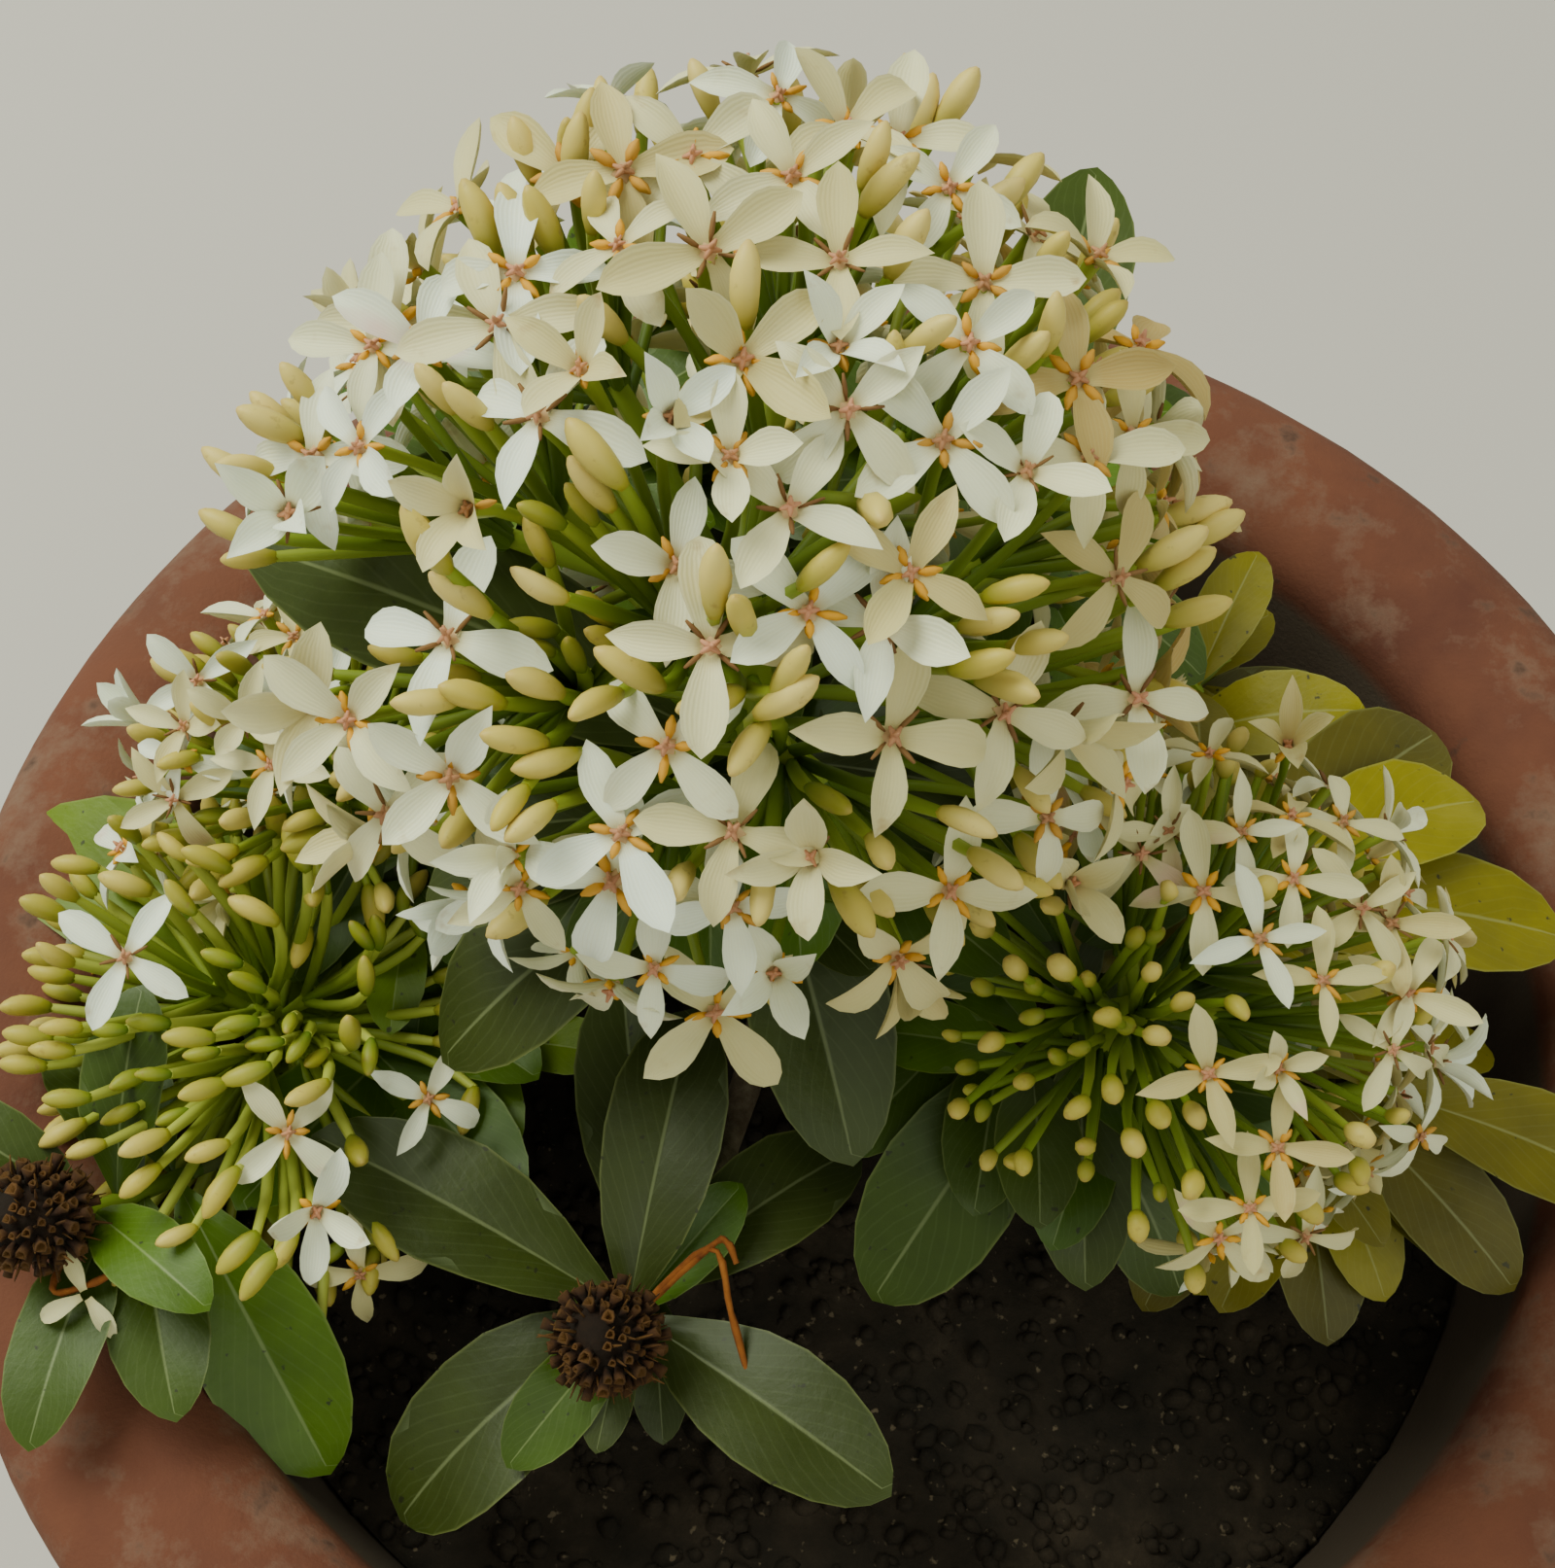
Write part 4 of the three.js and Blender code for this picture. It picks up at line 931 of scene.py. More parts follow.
# Side twigs between the pairs, each with a fan of young leaves; none reaches into the rim.
sideTwigs = {
    "stemSteps": 8, "stemTint": 0.95, "steps": 5, "tint": 0.8, "span": (0.05, 0.8),
    "length": 15, "lengths": (0.8, 1.3), "rise": 6, "riseJitter": 14, "foot": 1.3, "end": 0.8,
    "leaf": 34, "leafSizes": (0.75, 1.3), "wide": 1.1, "leaves": 5, "fan": 46,
    "fanJitter": 10, "lift": 0.1, "liftJitter": 0.3, "apart": 0.28, "young": 0.4,
    "clearRadius": 130, "clearHeight": 308,
}


# Leaf with a waxy cuticle: a soft grey gloss over dark green, a paler midrib and margin, faint
# side veins that leave the midrib at a slant, and a duller, lighter underside.
leafFinish = {
    "surface": {"IOR": 1.45, "Specular IOR Level": 0.38},
    "stops": {
        "waxyGreenLeaf": [(0.0, "#373D1A"), (0.25, "#3F4A19"), (0.5, "#43600E"),
                          (0.75, "#5B7808"), (1.0, "#838F10")],
        "waxyYellowLeaf": [(0.4, "#4A460E"), (0.6, "#5C5208"), (0.8, "#7C7005"),
                           (1.0, "#968A10")]},
    "roughness": {"waxyGreenLeaf": 0.42, "waxyYellowLeaf": 0.45}, "underRoughness": 0.75,
    "blotch": "#8C8C6C", "vein": "#C8D8A0", "rib": "#C6CF9A", "margin": "#A3A866",
    "spot": "#2A2A1C", "under": "#8E9A72", "veins": 78.0, "slant": 0.75, "veinDepth": 0.02,
    "grain": (300, 4, 0.6), "relief": (0.18, 0.0008),
}


# How far out on a blade, how far off its middle, and its veins as a comb of fine lines. The
# veins run lengthwise, or leave the middle at a slant.
def veinsOf(tree, count, slant=None):
    layout = addNode(tree, "ShaderNodeUVMap", uv_map="UVMap")
    parts = addNode(tree, "ShaderNodeSeparateXYZ", {"Vector": layout}).outputs
    lines, aside = parts["Y"], None
    if slant:
        offMiddle = addNode(tree, "ShaderNodeMath", {0: lines, 1: 0.5}, operation="SUBTRACT")
        aside = addNode(tree, "ShaderNodeMath", {0: offMiddle}, operation="ABSOLUTE")
        leaning = addNode(tree, "ShaderNodeMath", {0: aside, 1: slant}, operation="MULTIPLY")
        lines = addNode(tree, "ShaderNodeMath", {0: leaning, 1: parts["X"]},
                        operation="SUBTRACT")
    dense = addNode(tree, "ShaderNodeMath", {0: lines, 1: count}, operation="MULTIPLY")
    return parts["X"], aside, addNode(tree, "ShaderNodeMath", {0: dense}, operation="SINE")


def makeLeafFinish(name):
    look, roughness = leafFinish, leafFinish["roughness"][name]
    material, tree, shader = newMaterial(name, {"Roughness": roughness, **look["surface"]})
    aside, comb = veinsOf(tree, look["veins"], look["slant"])[1:]
    base = addNode(tree, "ShaderNodeValToRGB", {"Fac": fieldOf(tree, "tint")},
                   look["stops"][name])
    greyed = addNode(tree, "ShaderNodeMix", {0: 1.0, 6: base, 7: look["blotch"]},
                     data_type="RGBA", blend_type="MULTIPLY")
    patchy = layOver(tree, base, (55, 5, 0.6), 0.35, 0.75, 0.5, greyed)
    lighter = addNode(tree, "ShaderNodeMix", {0: 1.0, 6: patchy, 7: look["vein"]},
                      data_type="RGBA", blend_type="SCREEN")
    rib = addNode(tree, "ShaderNodeMix", {0: 0.6, 6: patchy, 7: look["rib"]}, data_type="RGBA")
    vein = addNode(tree, "ShaderNodeMapRange", {
        "Value": comb, "From Min": 0.8, "To Max": look["veinDepth"]})
    rough = addNode(tree, "ShaderNodeMath", {0: vein, 1: fieldOf(tree, look["grain"])},
                    operation="ADD")
    paint(tree, shader, patchy, [
        (vein, 0, 1, 1, lighter), (aside, 0.02, 0.007, 0.3, rib),
        (aside, 0.475, 0.5, 0.25, look["margin"]), ((420, 2, 0.5), 0.7, 0.74, 0.8, look["spot"]),
        ("under", 0, 1, 0.45, look["under"])], (rough, *look["relief"]))
    dull = addNode(tree, "ShaderNodeMapRange", {
        "Value": fieldOf(tree, "under"), "To Min": roughness, "To Max": look["underRoughness"]})
    feed(tree, shader.inputs["Roughness"], dull)
    return material


def leafMeshes():
    found = []
    for number, (start, end, twist) in enumerate(leafShape["bends"]):
        bends = [(0, start), (0.35, mix(start, end, 0.25)), (1, end)]
        found.append(bladeMesh(f"leaf {number}", leafShape, bends, twist, leafShape["wave"],
                               number))
    return found


# A shoot's tip, the end of its green stem, and the axes that its leaves are turned by.
def stemOf(name):
    tip, stem = Vector(shoots[name]["tip"]), Vector(shoots[name]["stem"])
    return tip, stem, frameOf((stem - tip).normalized() + upwards * leafPlacing["upright"])


def leafSpots(name):
    shoot, placing = shoots[name], leafPlacing
    number = list(shoots).index(name)
    tip, stem, axes = stemOf(name)
    spots = []
    for pair, (place, turn, rise, *lengths) in enumerate(shoot["pairs"]):
        for side, length in enumerate(lengths):
            index = number * 40 + pair * 2 + side
            way = turn + side * 180 + jitter(index, 11, placing["turnJitter"])
            out = directionIn(axes, 90 - rise + jitter(index, 12, placing["riseJitter"]), way)
            roll = Matrix.Rotation(math.radians(jitter(index, 21, placing["roll"])), 3, "X")
            size = length / leafShape["length"]
            wide = size * (1 + jitter(index, 22, placing["widthJitter"]))
            tint = shoot.get("own", {}).get(
                (pair, side), shoot["tint"] + jitter(index, 23, placing["tintJitter"]))
            spots.append((tip.lerp(stem, place), levelTurn(out) @ roll, (size, wide, size),
                          int(chance(index, 24) * len(leafShape["bends"])), tint))
    return spots


# The side twigs of a shoot, as (start, end, direction, index).
def twigsOf(name):
    tip, stem, axes = stemOf(name)
    count = shoots[name].get("finer", 0)
    found = []
    for number in range(count):
        index = firstIndex["twigs"] + list(shoots).index(name) * 60 + number
        start = tip.lerp(stem, mix(*sideTwigs["span"], (number + 0.5) / count))
        turn = shoots[name]["pairs"][0][1] + 90 + number * goldenTurn
        rise = sideTwigs["rise"] + jitter(index, 91, sideTwigs["riseJitter"])
        out = directionIn(axes, 90 - rise, turn)
        length = sideTwigs["length"] * mix(*sideTwigs["lengths"], chance(index, 92))
        found.append((start, start + out * length, out, index))
    return found


def youngLeafSpots(name):
    sizes = sideTwigs
    spots = []
    for start, end, out, index in twigsOf(name):
        for i in range(sizes["leaves"]):
            one = index * 7 + i
            aside = i - (sizes["leaves"] - 1) / 2
            turn = math.radians(aside * sizes["fan"] + jitter(one, 93, sizes["fanJitter"]))
            way = Matrix.Rotation(turn, 3, "Z") @ out
            way += upwards * (sizes["lift"] + jitter(one, 94, sizes["liftJitter"]))
            way.normalize()
            size = sizes["leaf"] * mix(*sizes["leafSizes"], chance(one, 95))
            size /= leafShape["length"]
            place = end.lerp(start, sizes["apart"] * abs(aside))
            far = place + way * (size * leafShape["length"])
            if inGap("leaves", far) or (math.hypot(far.x, far.y) > sizes["clearRadius"]
                                        and min(far.z, place.z) < sizes["clearHeight"]):
                continue
            tint = min(1, shoots[name]["tint"] + sizes["young"] * chance(one, 96))
            spots.append((place, levelTurn(way), (size, size * sizes["wide"], size),
                          one % len(leafShape["bends"]), tint))
    return spots


def makeLeaves():
    greens, yellows = [makeLeafFinish(name) for name in leafFinish["stops"]]
    shapes = shapeSet("leaf shapes", leafMeshes())
    for name in shoots:
        yellow = shoots[name]["tint"] > leafPlacing["yellowFrom"]
        spots = leafSpots(name) + youngLeafSpots(name)
        blades = scatter("blades_" + name, spots, shapes, yellows if yellow else greens)
        givePlace(blades, "yellow_leaves" if yellow else "leaves", "leaves_" + name)
    print("leaves:", sum(2 * len(shoot["pairs"]) for shoot in shoots.values()), "in pairs")


makeLeaves()


# Flower heads: stalks rise from a neck to cymes of flowers, each on a thin tube. The tube's
# radii are shares of the head's tubeWide.
tubeSizes = {
    "length": 36, "apart": 1.4, "finerApart": 0.7, "tintJitter": 0.2,
    "bud": (0.9, 0.95, 1, 1, 0.8), "open": (0.9, 0.9, 0.85, 0.8, 0.75, 0.85, 1.25),
}
stalkSizes = {"past": 1.5, "shortest": 10, "climb": 0.5, "highest": 0.7, "neckReach": 0.8,
              "neckTaper": 0.7, "stemRadius": 1.9, "neckSteps": 6, "neckTint": 0.8, "bow": 1.5,
              "radii": (0.95, 1.1, 1.2, 1.35, 1.7, 1.5), "tint": 0.6, "tintSpread": 0.3}
cymeSizes = {"turnJitter": 18, "fanJitter": 2, "step": 2.2, "reachJitter": 1.2, "nod": 0.3,
             "finerAside": 0.06, "depthJitter": 0.02}
petalShape = {
    "length": 13.0, "width": 5.9, "thick": 0.5, "fold": 0.08, "cup": 0.42, "rib": 0.0,
    "columns": (-1, -0.5, 0, 0.5, 1),
    "bends": [(14, 0, -12, 3), (10, -8, -34, -6), (18, 6, 2, 8), (12, -4, -22, -10),
              (8, -14, -50, 5), (20, 8, -16, 0), (12, 2, 14, -4), (6, -10, -26, 12)],
    "widths": [(0, 0.38), (0.12, 0.48), (0.3, 0.74), (0.46, 0.94), (0.6, 1), (0.75, 0.88),
               (0.89, 0.54), (1, 0)],
}
slenderPetal = {**petalShape, "width": 5.2, "widths": [
    (0, 0.42), (0.12, 0.53), (0.28, 0.8), (0.42, 0.97), (0.54, 1), (0.7, 0.82), (0.86, 0.42),
    (1, 0)]}
petalPlacing = {"lift": 4, "liftSpread": 19, "halfOpen": 0.13, "halfOpenLift": 50,
                "halfOpenSpread": 14, "ownLift": 12, "turnJitter": 8, "sizeJitter": 0.13,
                "ownSize": 0.08, "start": 0.8, "sink": 0.1, "creamSpread": 0.8,
                "ownCream": 0.15, "fadedCentre": 0.5}
budShape = {
    "length": 10.5, "leans": (0.0, 1.2, -1.6, 2.4), "twist": 50, "sides": 8, "lobes": 4,
    "depth": 0.05,
    "profile": [(0, 0.95), (0.08, 1.45), (0.24, 2.05), (0.44, 2.35), (0.64, 2.3), (0.8, 1.9),
                (0.93, 1.15), (1, 0.35)],
}
budPlacing = {"least": 0.85, "more": 0.3, "young": 0.8, "youngTint": 0.45, "tintJitter": 0.25,
              "below": 6, "bowAhead": 1.4, "bowAway": 0.6, "bowShare": 0.3, "into": 0.5}
# The centres of flowers, as (thickness of the anthers, their droop, height of the style).
centreShapes = [(1.0, 0.4, 3.2), (0.9, 0.0, 2.4), (1.05, 0.2, 2.0), (0.5, 0.9, 3.0)]


# The axes of a head, its foot, and the middle of its crown.
def crownOf(head):
    axes, foot = frameOf(head["axis"]), Vector(head["foot"])
    return axes, foot, foot + axes[2] * head["rise"]


# What a head's patches make of a flower: its kind, and how far out it reaches.
def patched(head, axes, seen, kind, reach):
    for patch, fromAxis, patchTurn, width, more in head["patches"]:
        off = math.degrees(seen.angle(directionIn(axes, fromAxis, patchTurn)))
        if off > width:
            continue
        reach *= 1 + more * (1 - off / width if patch == "far" else 1)
        if patch != "far":
            kind = patch
    return kind, reach


def crownDirection(head, axes, number, count):
    share = (number + 0.5) / count
    lift = 1 - share * (1 - math.cos(math.radians(head["spread"])))
    return directionIn(axes, math.degrees(math.acos(lift)), number * goldenTurn + head["turn"])


# Where the tubes of the flowers at a place leave their stalk.
def knotTowards(foot, place):
    way = place - foot
    reach = max(way.length - tubeSizes["length"], stalkSizes["shortest"])
    return foot + way * (reach / way.length)


def nearestOf(spots, place):
    return min(spots, key=lambda spot: (spot - place).length)


# A flower or a bud; root is where its tube starts, next to its knot on the stalk.
def newFlower(index, kind, knot, root, place):
    facing = (place - root).normalized()
    nod = cymeSizes["nod"] * chance(index, 8) if kind == "open" else 0
    facing = (facing + anyAcross(facing, index, 7) * nod).normalized()
    return dict(index=index, kind=kind, knot=knot, root=root, place=place, facing=facing)


# The flowers of a head by the source's rule.
def flowersOf(head):
    axes, foot, middle = crownOf(head)
    found = []
    for cyme in range(head["cymes"]):
        out = crownDirection(head, axes, cyme, head["cymes"])
        centre = middle + out * head["reach"]
        knot = knotTowards(foot, centre)
        around = frameOf(out)
        firstTurn = chance(head["seed"] + cyme, 2) * 360
        for i in range(head["flowers"]):
            index = head["seed"] + cyme * 5 + i
            turn = firstTurn + i / head["flowers"] * 360
            turn += jitter(index, 3, cymeSizes["turnJitter"])
            aside = head["fan"] + jitter(index, 4, cymeSizes["fanJitter"])
            offset = directionIn(around, 90, turn) * aside
            aim = (centre + offset - middle).normalized()
            step = cymeSizes["step"] if i % 2 else -cymeSizes["step"]
            reach = head["reach"] + step + jitter(index, 5, cymeSizes["reachJitter"])
            kind = "bud" if chance(index, 6) < head["budShare"] else "open"
            seen = (middle + aim * reach - foot).normalized()
            kind, reach = patched(head, axes, seen, kind, reach)
            if kind != "bare":
                root = knot + offset * (tubeSizes["apart"] / offset.length)
                found.append(newFlower(index, kind, knot, root, middle + aim * reach))
    return found


# The finer flowers and buds that stand in the gaps between those, on the same cymes.
def finerFlowers(head, flowers, name):
    axes, foot, middle = crownOf(head)
    knots = {tuple(flower["knot"]): flower["knot"] for flower in flowers}.values()
    found = []
    for number in range(head["finer"]):
        index = head["seed"] + firstIndex["finer"] + number
        aim = crownDirection(head, axes, number, head["finer"])
        aim = (aim + anyAcross(aim, index, 2) * cymeSizes["finerAside"]).normalized()
        reach = head["reach"] + jitter(index, 5, cymeSizes["step"])
        seen = (middle + aim * reach - foot).normalized()
        kind = "bud" if chance(index, 6) < head["budShare"] else "open"
        kind, reach = patched(head, axes, seen, kind, reach)
        place = middle + aim * reach
        nearest = min((place - flower["place"]).length for flower in flowers + found)
        inView = name in photoPlaces and (aim.dot((eye - middle).normalized())
                                          > photoSetting["front"])
        if kind == "bare" or nearest < (head["seenGap"] if inView else head["closest"]):
            continue
        if inGap(name, place) or (inView and kind == "bud"
                                  and nearest < photoSetting["budsApart"]):
            continue
        if nearest < (photoSetting["openApart"] if inView else head["roomy"]):
            kind = "bud"
        knot = nearestOf(knots, place)
        way = (knot - foot).normalized()
        aside = place - knot
        aside = (aside - way * aside.dot(way)).normalized()
        root = knot + aside * (tubeSizes["apart"] * tubeSizes["finerApart"])
        found.append(newFlower(index, kind, knot, root, place))
    return found


# Where the camera sees the crown of a head at a pixel, or next to it where it looks past.
def crownAt(head, pixel, share):
    axes, foot, middle = crownOf(head)
    ray = sightLine(*pixel)
    away = (middle - eye).dot(ray)
    aside = (eye + ray * away - middle).length
    reach = head["reach"] * share
    for attempt in range(4):
        place = eye + ray * (away - math.sqrt(max(0, reach * reach - aside * aside)))
        seen = (place - foot).normalized()
        reach = patched(head, axes, seen, "open", head["reach"])[1] * share
    out = place - middle
    return middle + out * min(1, reach * photoSetting["outermost"] / out.length)


# The flowers and buds that the photograph shows, each on the cyme nearest to it.
def seenFlowers(head, name, knots):
    foot, setting = Vector(head["foot"]), photoSetting
    right, up = cameraAxes[:2]
    leanRight, leanUp = head["budLean"]
    shares = {"flowers": 1, "buds": setting["budOut"], "young": setting["deepYoung"]}
    found = []
    for kind, pixels in photoPlaces.get(name, {}).items():
        for number, (x, y, *turn) in enumerate(pixels):
            index = head["seed"] + firstIndex["seen"] + number + len(found)
            share = shares[kind] + jitter(index, 5, cymeSizes["depthJitter"])
            place = crownAt(head, (x, y), share)
            way = place - foot
            knot = nearestOf(knots, knotTowards(foot, place))
            aside = place - knot
            aside = (aside - way * (aside.dot(way) / way.length_squared)).normalized()
            root = knot + aside * tubeSizes["apart"]
            flower = newFlower(index, "open" if kind == "flowers" else "bud", knot, root, place)
            back = (eye - place).normalized()
            ahead = (place - root).normalized()
            if kind == "flowers":
                facing = flower["facing"] + (back - ahead) * setting["toCamera"]
            else:
                outward = (way - back * way.dot(back)).normalized()
                facing = (ahead + outward * setting["budAside"] + right * leanRight + up * leanUp
                          + anyAcross(back, index, 7) * setting["budTilt"]
                          - back * setting["budToCamera"])
            flower["facing"] = facing.normalized()
            flower["young"] = kind == "young"
            if turn:
                angle = math.radians(turn[0])
                petal = right * math.cos(angle) + up * math.sin(angle)
                u, v = frameOf(flower["facing"])[:2]
                flower["roll"] = math.degrees(math.atan2(petal.dot(v), petal.dot(u)))
            found.append(flower)
    return found


# All the flowers of a head: those seen in the photograph, and those of the rule elsewhere.
def allFlowers(head, name):
    rule = flowersOf(head)
    knots = list({tuple(flower["knot"]): flower["knot"] for flower in rule}.values())
    seen = seenFlowers(head, name, knots)
    kept = list(seen)
    for flower in rule:
        nearest = min(((flower["place"] - other["place"]).length for other in seen), default=99)
        if nearest > photoSetting["ruleApart"] and not inGap(name, flower["place"]):
            kept.append(flower)
    return kept + finerFlowers(head, kept, name)


# Petal of a dwarf white ixora: thick and waxy, white turning cream with age, faintly veined
# along its length, peach at the throat, with now and then a pink or brown blemish. Its tint is
# partly painted shade as well: more cream on the shaded side of a head.
petalFinish = {
    "surface": {"Roughness": 0.55, "IOR": 1.4, "Subsurface Weight": 0.15,
                "Subsurface Radius": (0.6, 0.5, 0.35), "Subsurface Scale": 0.0015},
    "stops": [(0.0, "#F4FAF0"), (0.35, "#E8E0BA"), (0.7, "#D3C38A"), (1.0, "#BE9F5E")],
    "vein": "#D2CB98", "throat": "#CDBE84", "blush": "#E3A3AE", "tip": "#B08A55",
    "veins": 62.0, "relief": (0.12, 0.0003),
}


def makePetalFinish():
    look = petalFinish
    material, tree, shader = newMaterial("waxyWhitePetal", look["surface"])
    outwards, aside, comb = veinsOf(tree, look["veins"])
    browned = addNode(tree, "ShaderNodeMapRange", {
        "Value": fieldOf(tree, (210, 3, 0.6)), "From Min": 0.6, "From Max": 0.72, "To Max": 0.8})
    outer = addNode(tree, "ShaderNodeMapRange", {"Value": outwards, "From Min": 0.55})
    tipped = addNode(tree, "ShaderNodeMath", {0: browned, 1: outer}, operation="MULTIPLY")
    aged = addNode(tree, "ShaderNodeValToRGB", {"Fac": fieldOf(tree, "tint")}, look["stops"])
    paint(tree, shader, aged, [
        (comb, 0.5, 1, 0.14, look["vein"]), (outwards, 0.2, 0.02, 0.75, look["throat"]),
        ((60, 2, 0.5), 0.68, 0.78, 0.5, look["blush"]), (tipped, 0, 1, 1, look["tip"])],
        (comb, *look["relief"]))
    return material


# Green stems, flower tubes and buds: smooth and waxy, green where they start, paler and yellower
# towards the flower; tint goes from cream to green. The darker green where they start, deep in a
# head, is partly painted shade, and so is the darker tint of the tubes of a head in shade.
tubeFinish = {
    "surface": {"Roughness": 0.5, "IOR": 1.4},
    "base": ("tint", [(0.0, "#8A9A30"), (0.5, "#5F791C"), (1.0, "#3C5410")]),
    "layers": [("place", 0.1, 0.95, 1,
                [(0.0, "#BFC258"), (0.5, "#A2AC3A"), (1.0, "#7E9424")])],
}


budFinish = {
    "surface": {"Roughness": 0.48, "IOR": 1.4, "Subsurface Weight": 0.1,
                "Subsurface Radius": (0.6, 0.5, 0.3), "Subsurface Scale": 0.0015},
    "base": ("tint", [(0.0, "#BAA642"), (0.5, "#949428"), (1.0, "#5F7A1C")]),
    "layers": [("place", 0.1, 0.55, 1,
                [(0.0, "#E9CF7E"), (0.5, "#CDB650"), (1.0, "#95982C")]),
               ("place", 0.8, 1, 0.45, "#C9A260"),
               ((500, 3, 0.6), 0.62, 0.74, 0.5, "#9A7A42")],
}


# What stands in a flower's throat: orange anthers between the petals, or the brown threads
# that are left of them, the peach mouth of the tube and the style with its small pink lobes.
centreFinish = {
    "surface": {"Roughness": 0.7, "IOR": 1.4},
    "base": ("place", [(0.0, "#F2B030"), (0.3, "#F0A820"), (0.45, "#DFB98E"),
                       (0.6, "#D79478"), (1.0, "#7A5230")]),
    "layers": [("tint", 0, 1, 1, "#9A7446")],
}


def petalMeshes():
    found = []
    for number, (start, middle, end, twist) in enumerate(petalShape["bends"]):
        bends = [(0, start), (0.45, middle), (1, end)]
        outline = slenderPetal if number % 2 else petalShape
        found.append(bladeMesh(f"petal {number}", outline, bends, twist))
    return found


def budMeshes():
    shape = budShape
    found = []
    for number, lean in enumerate(shape["leans"]):
        rings = [((lean * share * share, 0.4 * lean * share, shape["length"] * share), radius,
                  share * shape["twist"]) for share, radius in shape["profile"]]
        found.append(ringsMesh(f"bud {number}", rings, shape["sides"], shape["lobes"],
                               shape["depth"]))
    return found


# A short four-sided rod from one point to another.
def rodMesh(name, start, end, radii, place):
    start, end = Vector(start), Vector(end)
    axes = frameOf(end - start)
    mesh = ringsMesh(name, [((0, 0, 0), radius, 0) for radius in radii], 4)
    for i, corner in enumerate(mesh.vertices):
        local = corner.co / millimetre
        spot = axes[0] * local.x + axes[1] * local.y
        corner.co = (spot + start.lerp(end, (i // 4) / (len(radii) - 1))) * millimetre
        mesh.attributes["place"].data[i].value = place
    return mesh


def centreMeshes():
    found = []
    for number, (size, droop, style) in enumerate(centreShapes):
        parts = []
        for i in range(4):
            index = number * 4 + i
            turn = math.radians(45 + i * 90 + jitter(index, 41, 14))
            out = Vector((math.cos(turn), math.sin(turn), 0))
            end = out * (4.3 + jitter(index, 42, 0.8)) + upwards * (1.0 + droop)
            radii = (0.3 * size, 0.75 * size, 0.72 * size, 0.2)
            parts.append(rodMesh(f"anther {i}", out * 1.1 + upwards * 0.5, end, radii,
                                 0.2 if size > 0.6 else 1.0))
        parts.append(rodMesh("mouth", (0, 0, -0.3), (0, 0, 0.35), (1.5, 1.65, 1.3, 0.4), 0.45))
        parts.append(rodMesh("style", (0, 0, 0.2), (0.3, 0.2, style), (0.4, 0.3, 0.45, 0.2), 0.6))
        for side in (1, -1):
            parts.append(rodMesh(f"lobe {side}", (-1.2, 0.8 * side, style * 0.5),
                                 (1.2, -0.8 * side, style * 0.5), (0.2, 0.45, 0.45, 0.2), 0.6))
        found.append(joined(f"centre {number}", parts))
    return found


# The four petals of an open flower, and what stands in its throat.
def openFlower(head, flower, petals, centres):
    placing = petalPlacing
    index, place = flower["index"], flower["place"]
    u, v, w = frameOf(flower["facing"])
    lift = placing["lift"] + jitter(index, 57, placing["liftSpread"])
    if chance(index, 56) < placing["halfOpen"]:
        lift = placing["halfOpenLift"] + jitter(index, 57, placing["halfOpenSpread"])
    size = head["flowerSize"] * (1 + jitter(index, 58, placing["sizeJitter"]))
    roll = flower.get("roll", chance(index, 9) * 90)
    # More cream towards the right of the head is painted shade; the left heads' whiteness is
    # painted light.
    ageAndLight, shadeTowardsRight = head["creamAndShade"]
    aside = (place.x - head["foot"][0]) / head["reach"]
    tint = max(0, chance(index, 59) * placing["creamSpread"] + ageAndLight + shadeTowardsRight * aside)
    for i in range(4):
        one = index * 4 + i
        turn = math.radians(roll + i * 90 + jitter(one, 60, placing["turnJitter"]))
        rise = math.radians(lift + jitter(one, 61, placing["ownLift"]))
        out = u * math.cos(turn) + v * math.sin(turn)
        ahead = out * math.cos(rise) + w * math.sin(rise)
        across = w.cross(out)
        own = size * (1 + jitter(one, 62, placing["ownSize"]))
        petals.append((place + out * placing["start"] - w * placing["sink"],
                       turnTo(ahead, across, ahead.cross(across)),
                       (own, own * head["petalWide"], own),
                       int(chance(one, 63) * len(petalShape["bends"])),
                       min(1, tint + placing["ownCream"] * chance(one, 64))))
    turned = turnTo(u, v, w) @ Matrix.Rotation(math.radians(roll), 3, "Z")
    centres.append((place, turned, (size, size, size),
                    int(chance(index, 65) * len(centreShapes)),
                    chance(index, 66) * placing["fadedCentre"]))


# The tube of a flower or a bud, as a path.
def tubeOf(head, flower, bow, end):
    shares = tubeSizes[flower["kind"]]
    # The tint of a head's tubes is partly painted shade: darker on the heads in shade.
    return (bend(flower["root"], bow, end, len(shares) - 1),
            [head["tubeWide"] * share for share in shares],
            clamped(head["tubeTintAndShade"] + jitter(flower["index"], 55, tubeSizes["tintJitter"])))


# A bud and its tube.
def closedBud(head, flower, buds, tubes):
    placing = budPlacing
    index, root, away = flower["index"], flower["root"], flower["facing"]
    young = flower.get("young")
    size = head["budSize"] * (placing["least"] + placing["more"] * chance(index, 51))
    size *= placing["young"] if young else 1
    foot = flower["place"] - away * (placing["below"] * size)
    ahead = (foot - root).normalized()
    bow = (ahead * placing["bowAhead"] + away * placing["bowAway"]).normalized()
    bow = foot - bow * ((foot - root).length * placing["bowShare"])
    tubes.append(tubeOf(head, flower, bow, foot + away * placing["into"]))
    tint = head["budTint"] + jitter(index, 52, placing["tintJitter"])
    tint += placing["youngTint"] if young else 0
    turned = turnTo(*frameOf(away)) @ Matrix.Rotation(chance(index, 53) * 6.28, 3, "Z")
    wide = size * head["budRound"]
    buds.append((foot, turned, (wide, wide, size),
                 int(chance(index, 54) * len(budShape["leans"])), clamped(tint)))


